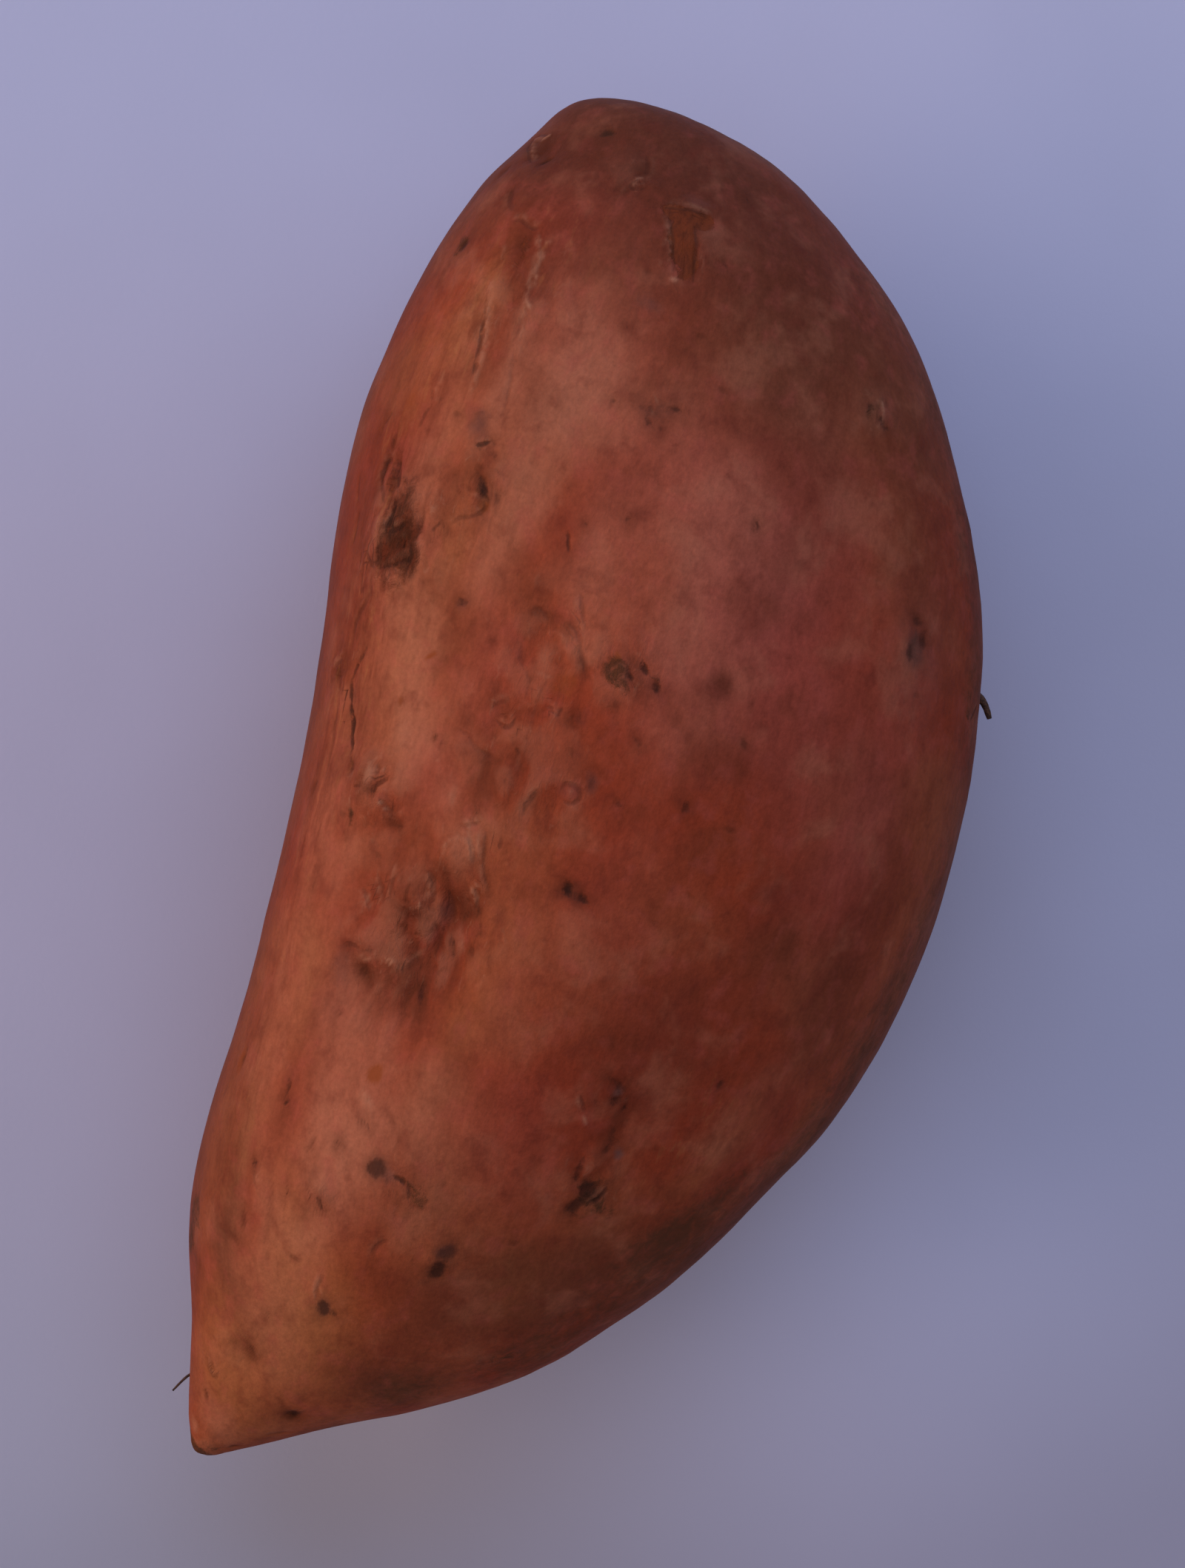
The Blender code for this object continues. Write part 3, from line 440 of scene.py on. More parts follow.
        (-33.5, 16.1, 1.1, 0.9, -20, 1), (13.9, 24.1, 1, 0.4, -40, 0.8),
        (8, 25.9, 1, 0.4, -10, 0.5), (15.3, 8.2, 2, 1.5, -30, 0.5), (32.2, 23.3, 1, 0.6, 0, 0.7),
        (40.6, 34.5, 2.2, 1.4, 0, 0.45), (-7, 28.6, 1.2, 0.8, 0, 0.4),
        (-36.5, 30.8, 1.6, 1, 5, 0.6), (19.9, 3.6, 0.7, 0.4, 0, 0.7),
        (-24, 24.5, 1.5, 0.6, 20, 0.3),
    ),
    "peel": (
        (66.3, 10, 3.7, 1.5, 18, 1), (70, 10.8, 2.7, 0.95, 86, 1), (69.9, 8.6, 1, 0.9, 0, 1),
        (61.4, 27.4, 3.4, 1.3, 8, 0.45),
    ),
    "streaked": (
        (20, 33, 22, 5, 10, 1), (-6, 31, 16, 3, 3, 0.8), (52, 30, 12, 5, -5, 0.7),
        (-40, 29, 14, 3, 0, 0.5), (-30, -22, 10, 6, -15, 0.5), (62, 24, 8, 5, 0, 0.4),
    ),
    "bark": (
        (24.9, 31.2, 4.6, 2.8, -8, 1), (29.6, 31.8, 3.6, 1.6, 8, 0.65),
        (32.6, 33.8, 3.4, 0.9, 18, 0.5), (24.4, 29.4, 2.6, 1.1, 10, 0.9),
        (33, 35.3, 2.4, 0.9, 10, 0.6), (37, 35.2, 3, 0.7, 5, 0.4), (9.6, 33.2, 1.4, 0.7, 0, 0.4),
    ),
    "grey": (
        (28, -30, 9, 5, 15, 0.3), (-43.6, 12.3, 1.35, 1.2, 0, 0.5),
        (-44.3, 10.8, 0.9, 0.6, 0, 0.5), (40.5, 26.5, 2, 1.4, 50, 0.45),
        (59.7, 12, 0.9, 2.2, -10, 0.4), (5.4, 1.9, 1.3, 0.8, 15, 0.5),
        (3.5, 3.9, 1.5, 1.3, 0, 0.35), (-60.7, 13.5, 1.2, 1, 0, 0.6),
        (-50.6, 2.1, 1.4, 1, -20, 0.5), (-23, 24, 2.6, 1.4, 10, 0.4), (20.7, 22.2, 0.9, 1, 0, 0.4),
        (35.6, 23, 2.2, 1.2, 30, 0.25), (48.4, 7.6, 1.4, 1.8, 0, 0.3),
        (-34.2, -13.7, 0.8, 0.6, 0, 0.8), (-27.4, -11.1, 0.6, 0.6, 0, 0.7),
        (46.3, 36.7, 0.9, 0.7, 0, 0.3), (42, 26, 0.4, 0.9, -15, 0.4), (-13.6, 14.6, 2, 1, 0, 0.4),
        (-7.3, 0.4, 1.4, 1.6, 0, 0.3), (30.8, -28.4, 1.8, 1.2, 0, 0.4), (72, 10, 0.8, 2, 0, 0.4),
    ),
    "moss": (
        (38.4, 25.4, 1.4, 1.4, 0, 0.35), (18.6, 4, 1.4, 1, 20, 0.65),
        (17.3, 2.6, 1.4, 0.9, 30, 0.6), (18.9, 2.7, 1, 1.2, 0, 0.5), (16.8, 1.3, 1, 0.6, 20, 0.5),
        (19, -0.8, 1.6, 0.5, 50, 0.5), (-80.2, 22.2, 1.6, 1, 35, 1),
        (-79, 23.4, 1.5, 0.5, 38, 0.8), (-79.4, 20.2, 1.4, 0.5, -60, 0.6),
        (-54.4, 31, 2.2, 3.4, 6, 0.6), (-57.4, 30.6, 2.2, 3.4, 6, 0.8),
        (-45.4, 6.9, 1.7, 1.2, 20, 0.6), (-44.2, 9.2, 0.7, 1, 0, 0.5),
        (-6.2, 26.9, 1.1, 0.7, -10, 0.7), (34.2, 24.1, 1.4, 0.8, 50, 0.7), (5, 21, 1, 0.5, 0, 0.4),
        (-1.2, 13.7, 1.2, 0.6, 0, 0.45), (27.2, 10.4, 1.4, 0.4, 0, 0.35),
        (59.4, 34.4, 1.8, 0.9, 0, 0.7), (74.2, 30, 1.8, 0.8, -35, 0.6),
        (76.7, 22.3, 0.8, 1, 0, 0.5), (4, -1.6, 1, 0.8, 0, 0.4), (-39.8, -12.2, 2.8, 2.2, 0, 0.6),
        (-41, -14.4, 1, 1.8, 0, 0.4), (-37.6, -9.6, 1.6, 0.8, 0, 0.5),
        (25.6, -36.4, 2.4, 0.7, 8, 0.6), (43, 24, 1.2, 0.3, 0, 0.35), (-60, -8, 2, 1.4, -45, 0.5),
        (55, -15.8, 1.2, 0.7, 0, 0.5), (48.9, 5.6, 0.7, 1.2, 0, 0.4),
    ),
    # Dirt, and a dark band along the whole rim of the bulging side that is partly dirt and partly
    # painted shade.
    "dirt_and_rim_shade": (
        (-42, -21.6, 5.2, 3.4, -30, 0.7), (-36, -25.6, 4, 2.2, -30, 0.6),
        (31.2, -28.6, 2.4, 1.2, 0, 0.35), (48.4, 7, 1.6, 1.4, 0, 0.3), (-74, 8.6, 4, 5, -62, 0.45),
        (-67, 1.6, 5, 6, -55, 0.55), (-60, -9.8, 6, 7, -47, 0.6), (-52, -17.2, 7, 7.5, -38, 0.55),
        (-43, -24.2, 7, 8, -33, 0.6), (-33, -30.4, 8, 7, -27, 0.5), (-22, -35, 8, 6.5, -18, 0.5),
        (-10, -37.8, 9, 6, -5, 0.5), (4, -39, 9, 5, 0, 0.4), (18, -38.6, 8, 5, 8, 0.35),
        (30, -36, 8, 5, 18, 0.5), (44, -30.6, 8, 6, 30, 0.5), (57, -23, 8, 5, 38, 0.45),
        (68, -13, 7, 5, 52, 0.4), (-39.5, -12.2, 3.6, 2.6, -10, 0.45),
        (56, -16.5, 2.2, 1.4, 40, 0.4),
    ),
}

# Gentle fullness (or, negative, slackness) along the outline: x, y, reach and amount.
FULLNESS = (
    (68, 31, 9, 0.5), (71, -7, 10, -0.5), (37, 37, 11, -0.3), (38, -33, 12, 0.35),
    (-14, 31, 11, 0.5), (-16, -37, 11, -0.45), (-48, 31, 9, -0.4), (-50, -19, 10, -0.5),
    (-64, -5, 9, -0.6), (-73, 7, 7, -0.6), (-36, -30, 8, -0.5),
)

# Wrinkled places: x, y, reach and amount.
PUCKERS = (
    (-14, 14.5, 8.5, 1), (-22.5, 18, 6, 0.8), (-3, 25.5, 4.5, 1), (9.5, 33, 3.5, 0.8),
    (8, 13, 8, 0.5), (19, 11, 8, 0.45), (19, 2, 3.6, 0.7), (25.5, 31, 6.5, 1.1),
    (33.5, 25, 6, 0.7), (56, 28, 7.5, 0.6), (67, 10.5, 4.5, 0.5), (72.5, 17.5, 3.5, 0.45),
    (72.5, 28.5, 3.5, 0.4), (-48.8, 17.8, 2.6, 0.8), (-45, 9, 4, 0.6), (-51.5, 2.3, 3, 0.6),
    (-38.5, -11.8, 4.5, 0.6), (-28, -11.2, 3, 0.45), (-67.9, 20.4, 3.4, 0.5),
    (-79.5, 22.5, 3.5, 0.7), (2, 7, 4.5, 0.6), (54.9, -17, 3, 0.6), (30.5, -28.7, 4, 0.5),
)

# How far from a mark the skin is touched by it at most, the distance kept for a point that no
# mark is near, and how many steps a crease takes between two of its points.
DAB_REACH = 60
SPOT_REACH = 12
CREASE_REACH = 3
FAR_OFF = 10.0
CREASE_STEPS = 6

# How fast a dab fades from its middle, and how sharp its edge is.
DAB_FADE, DAB_EDGE = 0.8, 2.4

# In millimetres from a crease's edge: where its darkness starts to fade and how fast, and how
# far out its pale lip, a painted highlight, runs and how wide it is.
CREASE_FADE_FROM, CREASE_FADE = 0.5, 0.4
LIP_AWAY, LIP_WIDTH = 0.28, 0.27

# How the outlines of marks wander: size of the waves and how far they move, in millimetres,
# and the seed.
CLOUD_WANDER = (9.0, 2.2, 20)
MARK_WANDER = (1.9, 0.42, 30)
FOLD_WANDER = (2.5, 0.7, 40)
CREASE_WANDER = (2.5, 0.2, 50)

# How much denser the skin's faces are on top, and how much they are evened lengthwise.
DENSER_ON_TOP = 0.42
EVEN_LENGTHWISE = 0.25

# The marks begin just under the widest line and are full just over it. The flanks' painted
# shade, a duller, darker colour where the skin turns down, begins where the skin turns this far
# upwards, and gives way between these distances towards the tail, by this much.
MARKS_RISE = (-0.1, 0.12)
FLANK_RISE = (0.05, 0.62)
FLANK_GIVES_WAY = (42, 64)
FLANK_LOSS = 0.7

# On the unwrapped chart: the two ends are squares this far from its middle line, at this
# height and of this half width; the sides fill the strip above, inside a thin margin.
END_APART, END_HEIGHT, END_HALF = 0.38, 0.12, 0.1
STRIP_BOTTOM, STRIP_HEIGHT, STRIP_MARGIN = 0.25, 0.74, 0.01

# ---------------------------------------------------------------------------
# Geometry

def smooth_curve(knots, values):
    """The natural cubic spline through the values, as a function."""
    knots, values = np.array(knots), np.array(values)
    gap = np.diff(knots)
    slope = np.diff(values) / gap
    system = np.eye(len(knots))
    bend_load = np.zeros(len(knots))
    for i in range(1, len(knots) - 1):
        system[i, i - 1:i + 2] = gap[i - 1], 2 * (gap[i - 1] + gap[i]), gap[i]
        bend_load[i] = 6 * (slope[i] - slope[i - 1])
    bend = np.linalg.solve(system, bend_load)

    def curve(at):
        i = np.clip(np.searchsorted(knots, at) - 1, 0, len(gap) - 1)
        after, before = at - knots[i], knots[i + 1] - at
        cubic = (bend[i] * before ** 3 + bend[i + 1] * after ** 3) / (6 * gap[i])
        start = (values[i] / gap[i] - bend[i] * gap[i] / 6) * before
        end = (values[i + 1] / gap[i] - bend[i + 1] * gap[i] / 6) * after
        return cubic + start + end

    return curve


ALONG, *SECTIONS = zip(*STATIONS)
BREADTH, DEPTH, SIDEWAYS, RISE = (smooth_curve(ALONG, [value * MM for value in values])
                                  for values in SECTIONS)


def plain_points(way):
    """Points of the smooth body for unit directions, as an array of rows."""
    along, across, up = way.T
    return np.stack([HALF_LENGTH * along, SIDEWAYS(along) + BREADTH(along) * across,
                     RISE(along) + DEPTH(along) * up], axis=1)


def unit(rows):
    """The rows, each made one long."""
    return rows / np.linalg.norm(rows, axis=-1, keepdims=True)


def outward(way):
    """Unit normals of the smooth body, near enough to push relief along."""
    along = way[:, 0]
    return unit(np.stack([way[:, 0] / HALF_LENGTH, way[:, 1] / BREADTH(along),
                          way[:, 2] / DEPTH(along)], axis=1))


def rib_share(way):
    """How much the ribs widen the section; they fade out at both flanks and both ends."""
    angle = np.arctan2(way[:, 2], way[:, 1])
    total = np.zeros(len(way))
    for rib in RIBS:
        total += rib.share * np.cos(rib.count * angle + rib.turn * np.pi * way[:, 0] + rib.phase)
    return total * way[:, 2] ** 2


def way_over(x, y, side=1):
    """The unit direction whose point of the smooth body lies over (or under) a place in plan."""
    along = x * MM / HALF_LENGTH
    across = (y * MM - SIDEWAYS(along)) / BREADTH(along)
    room = np.sqrt(max(1 - along ** 2, 0.0))
    across = np.clip(across, -0.999 * room, 0.999 * room)
    return np.array([[along, across, side * np.sqrt(max(1 - along ** 2 - across ** 2, 0.0))]])


def body_points(way):
    """Points of the solid's own form: ribs, swellings and hollows on the smooth body."""
    plain = plain_points(way)
    normal = outward(way)
    middle = plain_points(np.stack([way[:, 0], 0 * way[:, 0], 0 * way[:, 0]], axis=1))
    points = middle + (plain - middle) * (1 + rib_share(way))[:, None]
    for swelling in SWELLINGS:
        offset = plain - plain_points(way_over(swelling.x, swelling.y, swelling.side))
        round_it = np.hypot(offset[:, 1], offset[:, 2])
        far = ((offset[:, 0] / (swelling.reach_x * MM)) ** 2
               + (round_it / (swelling.reach_y * MM)) ** 2)
        points += normal * (swelling.height * MM * np.exp(-far))[:, None]
    return points


def way_seen(x, y):
    """The unit direction of the point that is seen at a place in the plan of the marks, which
    is drawn as seen from the eye at the height of the outline."""
    way = way_over(x, y)
    for _ in range(2):
        high = plain_points(way)[0][2] / MM
        share = (EYE[2] - high) / (EYE[2] - OUTLINE_HEIGHT)
        way = way_over(EYE[0] + (x - PLAN_MIDDLE[0]) * share,
                       EYE[1] + (y - PLAN_MIDDLE[1]) * share)
    return way


def local_places(plain, x, y, turn=0):
    """Where each point lies from a place on the body, in millimetres: along the turned way,
    across it, and the straight distance."""
    way = way_seen(x, y)
    middle = plain_points(way)[0]
    out = outward(way)[0]
    heading = np.array([np.cos(np.radians(turn)), np.sin(np.radians(turn)), 0.0])
    long_way = unit(heading - out * heading.dot(out))
    offset = (plain - middle) / MM
    return offset @ long_way, offset @ np.cross(out, long_way), np.linalg.norm(offset, axis=1)


def round_box(faces_along, faces_round):
    """A long box of even faces, and where its corners lie, each from -1 to 1."""
    box = bmesh.new()
    bmesh.ops.create_cube(box, size=2.0)
    lengthwise = [edge for edge in box.edges
                  if abs(edge.verts[0].co.x - edge.verts[1].co.x) > 1]
    bmesh.ops.subdivide_edges(box, edges=lengthwise, cuts=faces_along - 1, use_grid_fill=True)
    crosswise = [edge for edge in box.edges
                 if abs(edge.verts[0].co.x - edge.verts[1].co.x) < 1 / faces_along]
    bmesh.ops.subdivide_edges(box, edges=crosswise, cuts=faces_round - 1, use_grid_fill=True)
    return box, np.array([vertex.co[:] for vertex in box.verts])


def box_ways(corners, looks):
    """The unit direction of each corner of the long box, evenly spread over the root."""
    end_angle = np.pi / 2 * looks.faces_round / (looks.faces_along + looks.faces_round)
    return unit(np.tan(corners * np.array([np.pi / 2 - end_angle, np.pi / 4, np.pi / 4])))


def denser_on_top(way, amount):
    """Turns directions round the long axis, so that more of them point upwards."""
    angle = np.arctan2(way[:, 2], way[:, 1])
    round_it = np.hypot(way[:, 1], way[:, 2])
    turned = angle + amount * np.cos(angle)
    return np.stack([way[:, 0], round_it * np.cos(turned), round_it * np.sin(turned)], axis=1)


def even_lengthwise(way, amount):
    """Moves directions towards the middle of the long axis, where they would lie further apart."""
    polar = np.arccos(np.clip(way[:, 0], -1, 1))
    moved = polar + amount / 2 * np.sin(2 * polar)
    round_it = np.hypot(way[:, 1], way[:, 2])
    share = np.where(round_it > 1e-9, np.sin(moved) / np.maximum(round_it, 1e-9), 0.0)
    return np.stack([np.cos(moved), way[:, 1] * share, way[:, 2] * share], axis=1)


def noise_at(places, size, octaves=3, stretch=1.0, seed=0.0):
    """Fractal noise, about -1 to 1, at places in millimetres. Size is the width of its lumps,
    and stretch makes them longer along the root."""
    scale = np.array([1 / (size * stretch), 1 / size, 1 / size])
    shift = Vector((seed * 17.3, seed * 5.1, seed * 9.7))
    return np.array([noise.fractal(Vector(place) + shift, 1.0, 2.0, octaves)
                     for place in places * scale])


def soft_step(value, low, high):
    """0 below low, 1 above high and a smooth rise between them."""
    share = np.clip((value - low) / (high - low), 0, 1)
    return share * share * (3 - 2 * share)


def wandering(places, size, amount, seed):
    """Places moved about by noise, so that the marks drawn on them get uneven outlines."""
    moves = [noise_at(places, size, 2, 1.0, seed + axis) for axis in range(3)]
    return places + amount * np.stack(moves, axis=1)


def dab_field(plain, kind):
    """How much of one kind of dab lies at each point, from 0 to 1."""
    field = np.zeros(len(plain))
    for x, y, long, wide, turn, amount in DABS[kind]:
        u, v, far = local_places(plain, x, y, turn)
        shape = np.hypot(u / long, v / wide)
        spread = amount * np.exp(-DAB_FADE * shape ** DAB_EDGE) * (far < DAB_REACH)
        field = field + spread * (1 - field)
    return field


def spot_fields(plain):
    """The distance to the nearest dark spot's edge in millimetres, that spot's darkness, and
    how deep the spots are sunk."""
    edge = np.full(len(plain), FAR_OFF)
    dark, deep = np.zeros(len(plain)), np.zeros(len(plain))
    for spot in SPOTS:
        u, v, far = local_places(plain, spot.x, spot.y, spot.turn)
        shape = np.hypot(u / spot.long, v / spot.wide)
        here = np.where(far < SPOT_REACH, (shape - 1) * min(spot.long, spot.wide), FAR_OFF)
        nearer = here < edge
        edge = np.where(nearer, here, edge)
        dark = np.where(nearer, spot.dark, dark)
        deep = np.maximum(deep, spot.deep * np.exp(-shape ** 2) * (far < SPOT_REACH))
    return edge, dark, deep


def run_through(route, steps):
    """Points of a smooth line through those of a route, evenly from one to the next."""
    order = np.arange(len(route), dtype=float)
    along = np.linspace(0, order[-1], steps)
    return np.stack([smooth_curve(order, values)(along) for values in np.transpose(route)], axis=1)


def crease_line(crease):
    """Points of the smooth body that a crease runs through."""
    route = np.reshape(crease.route, (-1, 2))
    line = run_through(route, CREASE_STEPS * (len(route) - 1) + 1)
    return np.concatenate([plain_points(way_seen(x, y)) for x, y in line]) / MM


def crease_fields(plain, normal):
    """How far each point lies to the left of its nearest crease in millimetres, that crease's
    half width and darkness, how deep the creases are, and the pale lips beside them, where a
    highlight is painted."""
    offside = np.full(len(plain), FAR_OFF)
    wide, dark, deep, rim = (np.zeros(len(plain)) for _ in range(4))
    places = plain / MM
    for crease in CREASES:
        line = crease_line(crease)
        close = np.all((places > line.min(0) - CREASE_REACH)
                       & (places < line.max(0) + CREASE_REACH), axis=1)
        near = places[close]
        away = np.full(len(near), FAR_OFF)
        side, run = np.ones(len(near)), np.zeros(len(near))
        for i, (start, end) in enumerate(zip(line[:-1], line[1:])):
            way = end - start
            share = np.clip((near - start) @ way / way.dot(way), 0, 1)
            off = near - (start + share[:, None] * way)
            far = np.linalg.norm(off, axis=1)
            closer = far < away
            left = np.einsum("ij,ij->i", np.cross(normal[close], way), off)
            away = np.where(closer, far, away)
            side = np.where(closer, np.where(left < 0, -1, 1), side)
            run = np.where(closer, (i + share) / (len(line) - 1), run)
        taper = np.sqrt(np.clip(1 - np.abs(2 * run - 1) ** 4, 0, 1))
        nearer = away - crease.wide < np.abs(offside[close]) - wide[close]
        past = np.maximum(away - crease.wide - CREASE_FADE_FROM, 0)
        fade = np.exp(-(past / CREASE_FADE) ** 2)
        offside[close] = np.where(nearer, side * away, offside[close])
        wide[close] = np.where(nearer, crease.wide * taper, wide[close])
        dark[close] = np.where(nearer, crease.dark * taper * fade, dark[close])
        sunk = crease.deep * taper * np.exp(-(away / (crease.wide * 2.0)) ** 2)
        deep[close] = np.maximum(deep[close], sunk)
        lip_side = side * np.sign(crease.pale) * away
        lip = np.exp(-((lip_side - crease.wide - LIP_AWAY) / LIP_WIDTH) ** 2)
        rim[close] = np.maximum(rim[close], abs(crease.pale) * taper * lip)
    return offside, wide, dark, deep, rim


def round_field(plain, rows):
    """The sum of soft round swells at each point, from rows of x, y, reach and amount."""
    field = np.zeros(len(plain))
    for x, y, reach, amount in rows:
        field += amount * np.exp(-(local_places(plain, x, y)[2] / reach) ** 2)
    return field


def skin_relief(plain, dabs, puckered, looks):
    """How far the skin stands out from the solid's form at each point, in millimetres, apart
    from its spots and creases, and how near each point is to the bottom and crest of a fold,
    where shade and a highlight are painted."""
    places = plain / MM
    lumps = 0.30 * noise_at(places, 17.0, 2, 1.4, 1) + 0.12 * noise_at(places, 6.5, 2, 1.3, 2)
    large = np.abs(noise_at(wandering(places, *FOLD_WANDER), 4.2, 1, 1.5, 3))
    small = np.abs(noise_at(places, 2.0, 1, 1.4, 4))
    folds = puckered * (1.15 * np.minimum(large, 0.45) + 0.45 * np.minimum(small, 0.45))
    # For the painted shade in the fold bottoms and the painted highlight on the fold crests.
    bottom = np.clip(puckered, 0, 1) * np.clip(1 - large / 0.13, 0, 1)
    crest = np.clip(puckered, 0, 1) * np.clip((large - 0.25) / 0.15, 0, 1)
    flakes = dabs["bark"] * 0.32 * noise_at(places, 1.5, 3, 2.5, 5)
    crust = (dabs["moss"] + dabs["dirt_and_rim_shade"]) * 0.10 * noise_at(places, 1.3, 2, 1.0, 6)
    fibres = 0.04 * noise_at(places, 2.2, 2, 5.0, 7)
    dented = 0.22 * dabs["pale"] - 0.28 * dabs["shade"] - 0.16 * dabs["peel"]
    dented = dented + round_field(plain, FULLNESS)
    return looks.relief * (lumps + folds + flakes + crust + fibres) + dented, bottom, crest


# ---------------------------------------------------------------------------
# Shader maths

def maths(operation, swapped=False):
    """A method that adds the Math node of an operator, or of its reflected form."""
    def add_node(wire, other):
        values = (other, wire) if swapped else (wire, other)
        return wire.bench.node("ShaderNodeMath", {"operation": operation},
                               dict(enumerate(values)))

    return add_node


class Wire:
    """One output socket in a material. Arithmetic on it adds Math nodes."""

    def __init__(self, bench, socket):
        self.bench, self.socket = bench, socket

    __add__, __radd__ = maths("ADD"), maths("ADD", True)
    __sub__, __rsub__ = maths("SUBTRACT"), maths("SUBTRACT", True)
    __mul__, __rmul__ = maths("MULTIPLY"), maths("MULTIPLY", True)


class Bench:
    """Where one material's nodes are laid and wired."""

    def __init__(self, name):
        self.material = bpy.data.materials.new(name)
        self.material.use_nodes = True
        self.tree = self.material.node_tree
        self.tree.nodes.clear()

    def node(self, kind, settings=None, sockets=None, output=0):
        """Adds a node: its settings first, then the values or links of its sockets."""
        node = self.tree.nodes.new(kind)
        for name, value in (settings or {}).items():
            setattr(node, name, value)
        for name, value in (sockets or {}).items():
            if isinstance(value, Wire):
                self.tree.links.new(value.socket, node.inputs[name])
            else:
                node.inputs[name].default_value = value
        return Wire(self, node.outputs[output])

    def places(self, size=(1.0, 1.0, 1.0)):
        """The place on the object in millimetres, shrunk by a size along each axis."""
        place = self.node("ShaderNodeTexCoord", output="Object")
        scale = [1 / (MM * part) for part in size]
        return self.node("ShaderNodeVectorMath", {"operation": "MULTIPLY"}, {0: place, 1: scale})

    def along(self, places, way):
        """How far places lie along a way, in millimetres."""
        return self.node("ShaderNodeVectorMath", {"operation": "DOT_PRODUCT"},
                         {0: places, 1: way}, "Value")

    def noise(self, places, size, detail=3.0, roughness=0.5, distortion=0.0, seed=0.0):
        """Noise from 0 to 1 whose lumps are about that many millimetres wide."""
        shifted = self.node("ShaderNodeVectorMath", {"operation": "ADD"},
                            {0: places, 1: (seed * 31.7, seed * 12.9, seed * 47.3)})
        return self.node("ShaderNodeTexNoise", {"noise_dimensions": "3D"},
                         {"Vector": shifted, "Scale": 1 / size, "Detail": detail,
                          "Roughness": roughness, "Distortion": distortion})

    def size_of(self, value):
        """A value without its sign."""
        return self.node("ShaderNodeMath", {"operation": "ABSOLUTE"}, {0: value})

    def step(self, value, low, high, first=0.0, last=1.0):
        """0 below low, 1 above high and a smooth rise between them."""
        return self.node("ShaderNodeMapRange", {"interpolation_type": "SMOOTHSTEP"},
                         {"Value": value, "From Min": low, "From Max": high,
                          "To Min": first, "To Max": last})

    def drop(self, value, low, high):
        """1 below low, 0 above high and a smooth fall between them."""
        return self.step(value, low, high, 1.0, 0.0)

    def field(self, name):
        """A value kept on the mesh's points."""
        return self.node("ShaderNodeAttribute", {"attribute_name": name}, output="Fac")

    def mix(self, amount, first, second, way="MIX"):
        """A mix of two colours."""
        return self.node("ShaderNodeMix", {"data_type": "RGBA", "blend_type": way},
                         {0: amount, 6: first, 7: second}, output=2)

    def shaded(self, colour, shade):
        """A colour made lighter or darker by a value."""
        grey = self.node("ShaderNodeCombineColor", None, {0: shade, 1: shade, 2: shade})
        return self.mix(1.0, colour, grey, "MULTIPLY")

    def finish(self, sockets, bump=None, strength=1.0):
        """Joins everything to a Principled shader; bump heights are in millimetres."""
        if bump is not None:
            sockets["Normal"] = self.node("ShaderNodeBump", None, {
                "Strength": strength, "Distance": MM, "Height": bump})
        shader = self.node("ShaderNodeBsdfPrincipled", None, sockets, output="BSDF")
        end = self.tree.nodes.new("ShaderNodeOutputMaterial")
        self.tree.links.new(shader.socket, end.inputs["Surface"])
        return self.material


